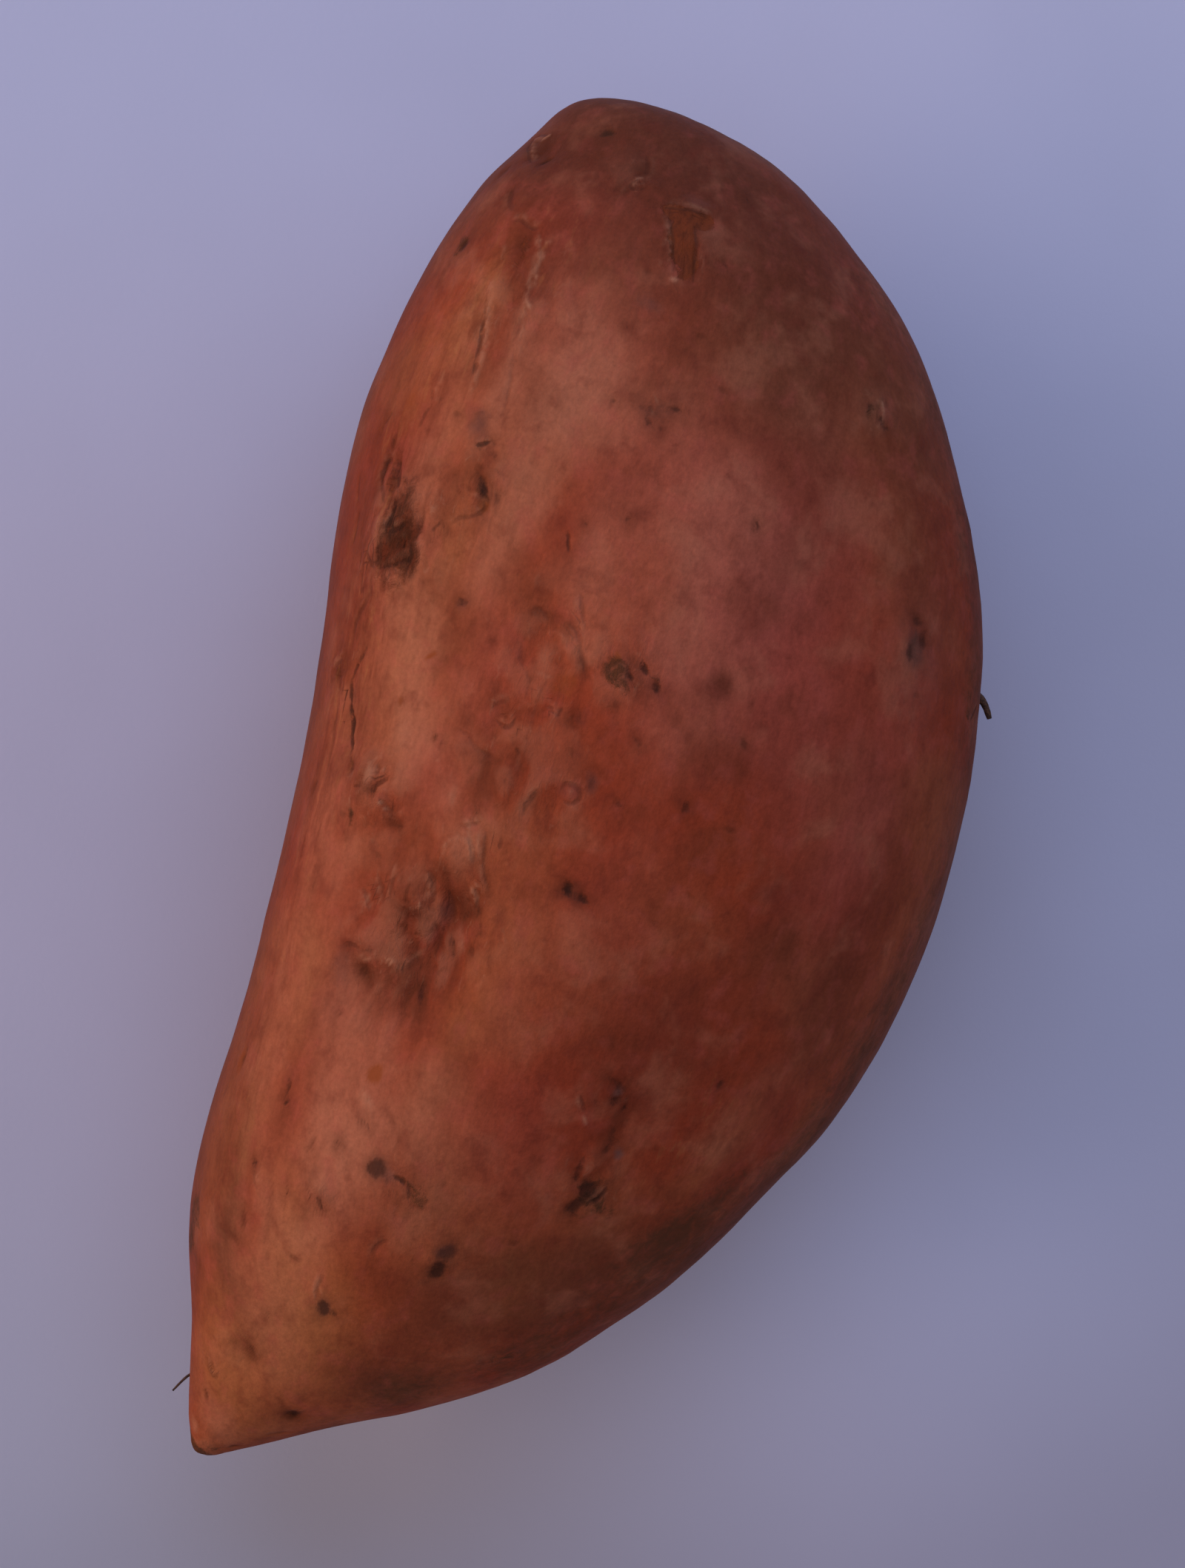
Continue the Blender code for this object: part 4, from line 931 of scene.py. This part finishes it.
def skin_material(looks):
    """Thin matt skin: brick red, salmon and russet clouds, mottled, with dark pits and scars, and
    painted shade and highlights on its flanks, wrinkles and creases.
    """
    bench = Bench("sweet_potato_skin")
    places = bench.places()
    grain_places = bench.places((3.0, 1.0, 1.0))
    wander = bench.noise(places, 1.1, 3, 0.6, seed=1)
    patches = bench.noise(places, 7.0, 3, 0.55, 0.3, seed=3)
    blotches = bench.noise(places, 3.2, 3, 0.55, 0.2, seed=4)
    fibres = bench.noise(grain_places, 1.0, 4, 0.6, 0.3, seed=5)
    grain = bench.noise(places, 0.5, 3, 0.65, seed=6)
    ragged = (bench.noise(places, 1.7, 4, 0.75, 0.6, seed=8) - 0.5) * 1.5

    # Broad clouds of the skin's own colours, with painted shade in the dull brown one, then
    # mottles over them all.
    colour = bench.mix(bench.step(bench.noise(places, 20.0, 2, 0.5, seed=2), 0.36, 0.66),
                       looks.brick, looks.russet)
    uneven = 0.6 + patches * 0.65
    for kind, amount in CLOUDS.items():
        colour = bench.mix(bench.field(kind) * uneven * amount, colour, getattr(looks, kind))
    colour = bench.mix(bench.step(patches, 0.48, 0.72) * 0.42, colour, looks.russet_dark)
    colour = bench.mix(bench.drop(patches, 0.28, 0.5) * 0.22, colour, looks.salmon)
    colour = bench.mix(bench.step(blotches, 0.5, 0.74) * 0.38, colour, looks.maroon)
    colour = bench.mix(bench.drop(blotches, 0.26, 0.5) * 0.28, colour, looks.rose)
    # Painted shade on the flanks, where the skin turns down.
    colour = bench.mix(bench.field("flank") * 0.6, colour, looks.flank)
    long_streaks = bench.noise(bench.places((7.0, 1.0, 1.0)), 1.0, 3, 0.6, 0.3, seed=12)
    colour = bench.mix(bench.step(long_streaks, 0.48, 0.66) * bench.field("streaked") * 0.5,
                       colour, looks.russet_dark)
    colour = bench.mix(bench.drop(long_streaks, 0.3, 0.44) * bench.field("streaked") * 0.35,
                       colour, looks.orange)
    streak = bench.step(fibres, 0.3, 0.7)
    colour = bench.shaded(colour, 0.70 + streak * 0.16 + grain * 0.52)

    # Lenticels: small short dark marks that lie across the root.
    lenticel_places = bench.places((1.0, 1.6, 1.6))
    cells = bench.node("ShaderNodeTexVoronoi", {"feature": "F1"},
                       {"Vector": lenticel_places, "Scale": 1 / 6.5, "Randomness": 1.0})
    freckles = bench.drop(cells + (wander - 0.5) * 0.10, 0.02, 0.09)
    colour = bench.mix(freckles * 0.35, colour, looks.shade)

    # Where the skin is wrinkled: painted highlights on the ridges, painted shade in the hollows
    # and fold bottoms, and a painted highlight on the fold crests.
    puckered = bench.field("puckered")
    wrinkle = bench.noise(bench.places((1.8, 1.0, 1.0)), 1.5, 4, 0.65, 0.5, seed=9)
    glint = bench.step(wrinkle, 0.58, 0.76) * puckered
    colour = bench.mix(glint * 0.4, colour, looks.pale)
    fold = bench.drop(wrinkle, 0.26, 0.46) * puckered * 0.9 + bench.field("fold_bottom_shade") * 0.7
    colour = bench.mix(bench.field("fold_crest_highlight") * 0.2, colour, looks.pale)
    colour = bench.mix(fold * 0.55, colour, looks.shade)

    # Small dabs: how ragged they are, where they begin and are full, and their strength.
    def dab(kind, rough, low, high):
        return bench.step(bench.field(kind) + ragged * rough, low, high)

    # The pale kind is partly a painted highlight.
    for kind, rough, low, high, amount in (("shade", 0.25, 0.02, 0.9, 0.85),
                                           ("gold", 0.35, 0.15, 0.7, 0.8),
                                           ("grey", 0.25, 0.08, 0.9, 0.8),
                                           ("pale", 0.3, 0.08, 0.9, 0.6)):
        colour = bench.mix(dab(kind, rough, low, high) * amount, colour, getattr(looks, kind))
    bark = dab("bark", 0.6, 0.25, 0.95)
    bark_colour = bench.mix(bench.step(fibres, 0.44, 0.62) * 0.8, looks.bark, looks.russet_dark)
    colour = bench.mix(bark * 0.85, colour, bark_colour)
    peel = dab("peel", 0.7, 0.36, 0.56)
    peel_colour = bench.mix(bench.step(fibres, 0.42, 0.62) * 0.6, looks.peel, looks.shade)
    colour = bench.mix(peel * 0.85, colour, peel_colour)
    moss = dab("moss", 0.95, 0.3, 0.8)
    colour = bench.mix(moss * (0.5 + grain * 0.6), colour, looks.moss)
    # Dirt, and painted shade along the bulging side's rim.
    dirt_and_rim_shade = dab("dirt_and_rim_shade", 0.8, 0.15, 0.95)
    colour = bench.mix(dirt_and_rim_shade * 0.75, colour, looks.dirt_and_rim_shade)

    # Dark spots with soft halos, and creases, darkened by their own colour and by painted shade,
    # with pale lips that are a painted highlight.
    jagged = (wander - 0.5) * 0.9
    spot_edge = bench.field("spot_edge") + jagged
    spot_dark = bench.field("spot_dark")
    halo = bench.drop(spot_edge, -0.3, 1.5) * spot_dark
    colour = bench.mix(halo * 0.4, colour, looks.shade)
    core = bench.drop(spot_edge, -0.38, 0.2) * spot_dark
    colour = bench.mix(core * 0.85, colour, looks.spot)
    # Painted highlight on the creases' pale lips.
    rim = bench.field("rim") * bench.step(wander, 0.3, 0.62)
    colour = bench.mix(rim * 0.5, colour, looks.pale)
    # The creases' darkness: the cracks' and scars' own colour and painted shade in the folds.
    crease_edge = bench.size_of(bench.field("crease_side")) - bench.field("crease_wide")
    crease = (bench.drop(crease_edge + jagged * 0.35, -0.16, 0.2) * bench.field("crease_dark")
              * bench.step(wander, 0.22, 0.46))
    colour = bench.mix(crease * 0.8, colour, looks.spot)

    height = (fibres * 0.05 + grain * 0.09 + blotches * 0.14 - crease * 0.25 - core * 0.15
              + bark * bench.noise(grain_places, 0.5, 4, 0.75, seed=10) * 0.8 - peel * 0.12
              + moss * grain * 0.2 + rim * 0.1 + puckered * wrinkle * 0.5 - freckles * 0.04)
    roughness = looks.roughness + (grain - 0.5) * 0.2 + bark * 0.15 + dirt_and_rim_shade * 0.12 - peel * 0.05
    return bench.finish({"Base Color": colour, "Roughness": roughness,
                         "Specular IOR Level": 0.03}, height, 0.8)


def fibre_material(looks):
    """The dry brown bark of a thin rootlet."""
    bench = Bench("rootlet_bark")
    places = bench.places((1.0, 1.0, 1.0))
    flecks = bench.noise(places, 0.25, 3, 0.6)
    colour = bench.mix(bench.step(flecks, 0.35, 0.65), looks.dark, looks.light)
    return bench.finish({"Base Color": colour, "Roughness": 0.55 + flecks * 0.3,
                         "Specular IOR Level": 0.2}, flecks * 0.05, 0.7)


# Painted light and shade on the sheet: the ways across it to beyond the crown (painted light),
# to past the bulging side (painted shade before the tail) and to below the tail (painted shade);
# the middle of the painted pool of light by the tail; how much lighter that is and how much
# darker the painted shade below the tail makes it; and how far from the root all of this fades
# out, in millimetres.
SHEET_FAR = (0.9553, 0.2957, 0.0)
SHEET_PAST = (0.952, -0.306, 0.0)
SHEET_BELOW = (-0.876, -0.4825, 0.0)
SHEET_LIGHT_POOL = (-50.0, -33.0, 0.0)
LIGHT_POOL_BY, SHADE_BELOW_BY = 0.26, 0.26
SHEET_FADE = (115.0, 300.0)


def paper_material(looks):
    """The pale sheet that the root lies on, with the faintest tooth and clouding, and painted
    light and shade: lighter and bluer beyond the crown, darker before and below the tail, and a
    painted pool of light by the tail.
    """
    bench = Bench("pale_sheet")
    places = bench.places()
    cloud = bench.noise(places, 60.0, 3, 0.55)
    tooth = bench.noise(places, 0.8, 3, 0.6)
    middle = bench.node("ShaderNodeVectorMath", {"operation": "LENGTH"}, {0: places}, "Value")
    close = bench.drop(middle, *SHEET_FADE)
    # Painted light: the sheet lighter and bluer beyond the crown.
    far = bench.step(bench.along(places, SHEET_FAR), 15.0, 95.0) * close
    # Painted shade: the sheet darker before the tail.
    near = bench.drop(bench.along(places, SHEET_PAST), -115.0, -35.0) * close
    colour = bench.mix(far, looks.floor, looks.floor_painted_light)
    colour = bench.mix(near, colour, looks.floor_painted_shade)
    away = bench.node("ShaderNodeVectorMath", {"operation": "DISTANCE"},
                      {0: places, 1: SHEET_LIGHT_POOL}, "Value")
    # A painted pool of light on the sheet by the tail.
    lighter = bench.drop(away, 5.0, 62.0)
    # Painted shade on the sheet below the tail.
    below = bench.step(bench.along(places, SHEET_BELOW), 49.0, 104.0) * close
    clouded = 0.975 + bench.step(cloud, 0.3, 0.7) * 0.05
    colour = bench.shaded(colour, clouded + lighter * LIGHT_POOL_BY)
    colour = bench.shaded(colour, 1.0 - below * SHADE_BELOW_BY)
    return bench.finish({"Base Color": colour, "Roughness": 0.8,
                         "Specular IOR Level": 0.1}, tooth * 0.05, 0.4)


# ---------------------------------------------------------------------------
# Pieces

def add_piece(name, box, material):
    """Makes an object from finished bmesh geometry, smooth shaded."""
    mesh = bpy.data.meshes.new(name)
    box.to_mesh(mesh)
    box.free()
    mesh.materials.append(material)
    mesh.polygons.foreach_set("use_smooth", np.ones(len(mesh.polygons), bool))
    piece = bpy.data.objects.new(name, mesh)
    bpy.context.scene.collection.objects.link(piece)
    return piece


def keep_field(mesh, name, values):
    """Keeps one value for each point of the mesh, for the material to read."""
    field = mesh.attributes.new(name, "FLOAT", "POINT")
    field.data.foreach_set("value", np.asarray(values, dtype=np.float32))


def wrap_chart(box, corners):
    """Unwraps the long box: its four sides as one strip, its two ends as squares below it."""
    chart = box.loops.layers.uv.new("OFBake")
    for face in box.faces:
        places = corners[[vertex.index for vertex in face.verts]]
        middle = places.mean(axis=0)
        wall = int(np.argmax(np.abs(middle)))
        for loop, place in zip(face.loops, places):
            if wall == 0:
                loop[chart].uv = (0.5 + np.sign(middle[0]) * END_APART + place[1] * END_HALF,
                                  END_HEIGHT + place[2] * END_HALF)
            else:
                loop[chart].uv = (STRIP_MARGIN + (1 - 2 * STRIP_MARGIN) * (place[0] + 1) / 2,
                                  STRIP_BOTTOM + STRIP_HEIGHT * share_round(place, middle, wall))


def share_round(place, middle, wall):
    """How far round the box's sides a corner lies, from 0 to 1, starting below the -Y side."""
    if wall == 2:
        return (place[1] + 1) / 8 if middle[2] < 0 else 0.5 + (1 - place[1]) / 8
    return 0.25 + (place[2] + 1) / 8 if middle[1] > 0 else 0.75 + (1 - place[2]) / 8


def grow_skin(looks):
    """The whole root as one closed skin over the solid's form."""
    box, corners = round_box(looks.faces_along, looks.faces_round)
    box.verts.index_update()
    wrap_chart(box, corners)
    way = denser_on_top(box_ways(corners, looks), DENSER_ON_TOP)
    way = even_lengthwise(way, EVEN_LENGTHWISE)
    plain, normal = plain_points(way), outward(way)
    upper = soft_step(way[:, 2], *MARKS_RISE)
    # Painted shade: the sides darken and dull as the skin turns down.
    flank = 1 - soft_step(normal[:, 2], *FLANK_RISE)
    flank *= 1 - FLANK_LOSS * soft_step(-plain[:, 0] / MM, *FLANK_GIVES_WAY) * upper
    cloudy = wandering(plain / MM, *CLOUD_WANDER) * MM
    uneven = wandering(plain / MM, *MARK_WANDER) * MM
    dabs = {kind: dab_field(cloudy if kind in CLOUDS else uneven, kind) * upper for kind in DABS}
    puckered = round_field(plain, PUCKERS) * upper
    spot_edge, spot_dark, spot_deep = spot_fields(uneven)
    wavy = wandering(plain / MM, *CREASE_WANDER) * MM
    crease_side, crease_wide, crease_dark, crease_deep, rim = crease_fields(wavy, normal)
    relief, fold_bottom_shade, fold_crest_highlight = skin_relief(plain, dabs, puckered, looks)
    relief += upper * (0.14 * rim - crease_deep - spot_deep)
    points = body_points(way) + normal * (relief * MM)[:, None]
    points[:, 2] = np.maximum(points[:, 2], 0.0)
    for vertex, point in zip(box.verts, points):
        vertex.co = point
    skin = add_piece("root_skin", box, skin_material(looks))
    hidden = FAR_OFF * (1 - upper)
    fields = {"spot_edge": spot_edge + hidden, "spot_dark": spot_dark * upper,
              "crease_side": crease_side, "crease_wide": crease_wide,
              "crease_dark": crease_dark * upper, "rim": rim * upper,
              "puckered": np.clip(puckered, 0, 1), "fold_bottom_shade": fold_bottom_shade * upper,
              "fold_crest_highlight": fold_crest_highlight * upper, "flank": flank, **dabs}
    for name, values in fields.items():
        keep_field(skin.data, name, values)
    return skin


Rootlet = namedtuple("Rootlet", "name thickness route")
ROOTLETS = (
    Rootlet("rootlet_stub", 1.1, ((29.0, -34.5, 33.3), (28.2, -37.0, 33.5), (27.2, -38.2, 33.7),
                                  (26.2, -38.9, 33.6))),
    Rootlet("tail_hair", 0.42, ((-70.5, 22.5, 27.6), (-72.0, 25.2, 27.8), (-73.2, 26.5, 27.9),
                               (-75.1, 27.5, 27.8))),
)


def grow_rootlet(rootlet, looks):
    """A thin broken root as a slightly knotted tapering tube."""
    steps, sides, taper, knottiness = 28, 10, 0.45, 0.16
    line = run_through(rootlet.route, steps)
    knots = noise_at(line, 0.8, 2, 1, 11)
    tube = bmesh.new()
    rings = []
    for i, middle in enumerate(line):
        ahead = unit(line[min(i + 1, steps - 1)] - line[max(i - 1, 0)])
        side = unit(np.cross(ahead, (0.0, 0.0, 1.0)))
        up = np.cross(side, ahead)
        radius = (rootlet.thickness / 2 * (1 - taper * i / (steps - 1))
                  * (1 + knottiness * knots[i]))
        turns = [2 * np.pi * k / sides for k in range(sides)]
        rings.append([tube.verts.new((middle + radius * looks.thickness
                                      * (side * np.cos(turn) + up * np.sin(turn))) * MM)
                      for turn in turns])
    for before, after in zip(rings[:-1], rings[1:]):
        for k in range(sides):
            following = (k + 1) % sides
            tube.faces.new((before[k], before[following], after[following], after[k]))
    tube.faces.new(rings[0][::-1])
    tube.faces.new(rings[-1])
    bmesh.ops.recalc_face_normals(tube, faces=tube.faces[:])
    return add_piece(rootlet.name, tube, fibre_material(looks))


# ---------------------------------------------------------------------------
# What a user may change

def colour_of(name, description, value):
    """A colour that a user may change."""
    return FloatVectorProperty(name=name, description=description, default=value,
                               subtype="COLOR", size=4, min=0, max=1)


class SkinLooks(bpy.types.PropertyGroup):
    """Sizes and colours of the skin."""
    faces_along: IntProperty(name="Faces along", description="Rows of faces along the sides",
                             default=262, min=40, max=262)
    faces_round: IntProperty(name="Faces round", description="Faces across a quarter turn",
                             default=81, min=12, max=81)
    relief: FloatProperty(name="Relief", description="How strong the lumps and folds are",
                          default=1.0, min=0, max=2, subtype="FACTOR")
    roughness: FloatProperty(name="Roughness", description="Roughness of the clean skin",
                             default=0.56, min=0, max=1, subtype="FACTOR")
    brick: colour_of("Brick", "Brick red skin", (0.285, 0.040, 0.017, 1))
    russet: colour_of("Russet", "Red-brown skin", (0.31, 0.071, 0.032, 1))
    russet_dark: colour_of("Dark russet", "Darker red-brown mottles", (0.165, 0.031, 0.014, 1))
    orange: colour_of("Orange", "Orange-brown skin of the tail", (0.43, 0.156, 0.059, 1))
    salmon: colour_of("Salmon", "Pale pinkish patches", (0.5, 0.17, 0.102, 1))
    rose: colour_of("Rose", "Pinkish red patches", (0.395, 0.074, 0.056, 1))
    maroon: colour_of("Maroon", "Deep purplish red skin", (0.155, 0.025, 0.016, 1))
    # Dull brown skin and painted shade.
    dull_brown_and_shade: colour_of("Dusk", "Dull brown skin", (0.125, 0.035, 0.02, 1))
    # Painted shade on the sides as they turn down.
    flank: colour_of("Flank", "Duller skin on the flanks", (0.105, 0.040, 0.025, 1))
    shade: colour_of("Shade", "Soft dark marks", (0.085, 0.019, 0.009, 1))
    # Also the painted highlights on wrinkle ridges, fold crests, crease lips and bumps.
    pale: colour_of("Pale edge", "Dry pale rims and wrinkles", (0.56, 0.24, 0.15, 1))
    gold: colour_of("Gold", "Orange-brown stains", (0.3, 0.064, 0.019, 1))
    peel: colour_of("Peel", "Where the skin has peeled", (0.20, 0.039, 0.014, 1))
    bark: colour_of("Bark", "Corky scar", (0.075, 0.02, 0.01, 1))
    grey: colour_of("Grey", "Grey and purple bruises", (0.15, 0.066, 0.06, 1))
    moss: colour_of("Moss", "Greenish-brown stains", (0.078, 0.031, 0.014, 1))
    # Also the painted shade along the bulging side's rim.
    dirt_and_rim_shade: colour_of("Dirt", "Dull dried earth", (0.07, 0.031, 0.017, 1))
    spot: colour_of("Spot", "Pits, cracks and dark spots", (0.034, 0.013, 0.01, 1))


class RootletLooks(bpy.types.PropertyGroup):
    """Sizes and colours of the rootlets."""
    thickness: FloatProperty(name="Thickness", description="Share of the natural thickness",
                             default=1.0, min=0.5, max=1.5, subtype="FACTOR")
    dark: colour_of("Dark", "Dark flecks of the bark", (0.035, 0.018, 0.015, 1))
    light: colour_of("Light", "Light flecks of the bark", (0.13, 0.055, 0.035, 1))


class StageLooks(bpy.types.PropertyGroup):
    """The sheet, the light and the camera."""
    floor_width: FloatProperty(name="Sheet width", description="Width of the pale sheet",
                               default=2.4, min=0.5, max=10, unit="LENGTH")
    floor: colour_of("Sheet", "Colour of the sheet", (0.56, 0.508, 0.705, 1))
    # Painted light: the sheet's colour beyond the crown.
    floor_painted_light: colour_of("Sheet beyond", "The sheet past the crown", (0.60, 0.585, 0.85, 1))
    # Painted shade: the sheet's colour before the tail.
    floor_painted_shade: colour_of("Sheet before", "The sheet before the tail", (0.48, 0.45, 0.61, 1))
    side_power: FloatProperty(name="Side power", description="Power of the low warm light",
                              default=7.0, min=0, max=100, unit="POWER")
    side_colour: colour_of("Side colour", "Colour of the low warm light", (1.0, 0.70, 0.42, 1))
    sky_power: FloatProperty(name="Sky power", description="Power of the high cool light",
                             default=4.6, min=0, max=100, unit="POWER")
    sky_colour: colour_of("Sky colour", "Colour of the high cool light", (0.42, 0.64, 1.0, 1))
    window_width: FloatProperty(name="Light width", description="Width of both lights",
                                default=1.0, min=0.05, max=5, unit="LENGTH")
    room: FloatProperty(name="Room light", description="Strength of the room's own light",
                        default=0.34, min=0, max=5)
    room_colour: colour_of("Room colour", "Colour of the room's own light",
                           (0.92, 0.97, 1.0, 1))
    camera_height: FloatProperty(name="Camera height", description="Camera above the sheet",
                                 default=0.633, min=0.2, max=5, unit="LENGTH")
    lens: FloatProperty(name="Lens", description="Focal length", default=120.9, min=20, max=300,
                        unit="CAMERA")


# ---------------------------------------------------------------------------
# Operators

class SWEETPOTATO_OT_skin(bpy.types.Operator):
    """Grow the whole skin"""
    bl_idname = "sweetpotato.skin"
    bl_label = "Skin"

    def execute(self, context):
        skin = grow_skin(context.scene.sweet_potato_skin)
        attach(skin, "root")
        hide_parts("sweet_potato")
        return {"FINISHED"}


class SWEETPOTATO_OT_rootlets(bpy.types.Operator):
    """Grow the broken rootlets"""
    bl_idname = "sweetpotato.rootlets"
    bl_label = "Rootlets"

    def execute(self, context):
        for rootlet in ROOTLETS:
            piece = grow_rootlet(rootlet, context.scene.sweet_potato_rootlets)
            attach(piece, "root")
        return {"FINISHED"}


# Where the two lights hang in metres, and the ways that are right and up to the camera.
SIDE_WINDOW = (-0.18, 1.02, 0.38)
SKY_WINDOW = (0.77, 0.14, 0.78)
CAMERA_RIGHT = (0.2957, -0.9553, 0.0)
CAMERA_UP = (0.9553, 0.2957, 0.0)


def add_sheet(looks):
    """The pale sheet below everything."""
    half = looks.floor_width / 2
    sheet = bmesh.new()
    corners = [sheet.verts.new((x, y, 0)) for x, y in
               ((-half, -half), (half, -half), (half, half), (-half, half))]
    sheet.faces.new(corners)
    add_piece("pale_sheet", sheet, paper_material(looks))


def add_light(name, place, power, width, colour):
    """A broad square light that shines at the middle of the sheet."""
    light = bpy.data.lights.new(name, "AREA")
    light.shape = "SQUARE"
    light.size, light.energy, light.color = width, power, colour[:3]
    lamp = bpy.data.objects.new(name, light)
    lamp.location = place
    lamp.rotation_euler = (-lamp.location).to_track_quat("-Z", "Y").to_euler()
    bpy.context.scene.collection.objects.link(lamp)


def add_room(looks):
    """Even light from the whole room."""
    room = bpy.data.worlds.new("room")
    room.use_nodes = True
    shade = room.node_tree.nodes["Background"]
    shade.inputs["Color"].default_value = looks.room_colour
    shade.inputs["Strength"].default_value = looks.room
    bpy.context.scene.world = room
    bpy.context.scene.view_settings.view_transform = "Standard"


def add_camera(looks):
    """A camera that looks straight down, turned so that the crown points up to the right."""
    eye = bpy.data.cameras.new("camera")
    eye.lens, eye.sensor_width = looks.lens, 36
    camera = bpy.data.objects.new("camera", eye)
    right, up = Vector(CAMERA_RIGHT), Vector(CAMERA_UP)
    turn = Matrix((right, up, right.cross(up))).transposed()
    camera.matrix_world = (Matrix.Translation((EYE[0] * MM, EYE[1] * MM, looks.camera_height))
                           @ turn.to_4x4())
    bpy.context.scene.collection.objects.link(camera)
    bpy.context.scene.camera = camera


class SWEETPOTATO_OT_stage(bpy.types.Operator):
    """Lay the sheet and set up the light and the camera"""
    bl_idname = "sweetpotato.stage"
    bl_label = "Stage"

    def execute(self, context):
        looks = context.scene.sweet_potato_stage
        add_sheet(looks)
        add_light("side_window", SIDE_WINDOW, looks.side_power, looks.window_width,
                  looks.side_colour)
        add_light("sky_window", SKY_WINDOW, looks.sky_power, looks.window_width,
                  looks.sky_colour)
        add_room(looks)
        add_camera(looks)
        return {"FINISHED"}


class SWEETPOTATO_PT_pieces(bpy.types.Panel):
    """Lists the pieces and what can be changed about them"""
    bl_idname = "SWEETPOTATO_PT_pieces"
    bl_label = "Sweet Potato"
    bl_space_type = "VIEW_3D"
    bl_region_type = "UI"
    bl_category = "Sweet Potato"

    def draw(self, context):
        for operator, group in PANEL_ROWS:
            self.layout.operator(operator)
            looks = getattr(context.scene, group)
            column = self.layout.column()
            for name in looks.bl_rna.properties.keys():
                if name not in {"rna_type", "name"}:
                    column.prop(looks, name)


PANEL_ROWS = (
    ("sweetpotato.skin", "sweet_potato_skin"),
    ("sweetpotato.rootlets", "sweet_potato_rootlets"),
    ("sweetpotato.stage", "sweet_potato_stage"),
)
CLASSES = (SkinLooks, RootletLooks, StageLooks, SWEETPOTATO_OT_skin, SWEETPOTATO_OT_rootlets,
           SWEETPOTATO_OT_stage, SWEETPOTATO_PT_pieces)


def register():
    """Makes the pieces and their settings known."""
    for part in CLASSES:
        bpy.utils.register_class(part)
    bpy.types.Scene.sweet_potato_skin = PointerProperty(type=SkinLooks)
    bpy.types.Scene.sweet_potato_rootlets = PointerProperty(type=RootletLooks)
    bpy.types.Scene.sweet_potato_stage = PointerProperty(type=StageLooks)


def unregister():
    """Takes the pieces and their settings away again."""
    del bpy.types.Scene.sweet_potato_stage
    del bpy.types.Scene.sweet_potato_rootlets
    del bpy.types.Scene.sweet_potato_skin
    for part in reversed(CLASSES):
        bpy.utils.unregister_class(part)


def main():
    """Builds the whole scene."""
    register()
    bpy.ops.sweetpotato.skin()
    bpy.ops.sweetpotato.rootlets()
    bpy.ops.sweetpotato.stage()


if __name__ == "__main__":
    main()
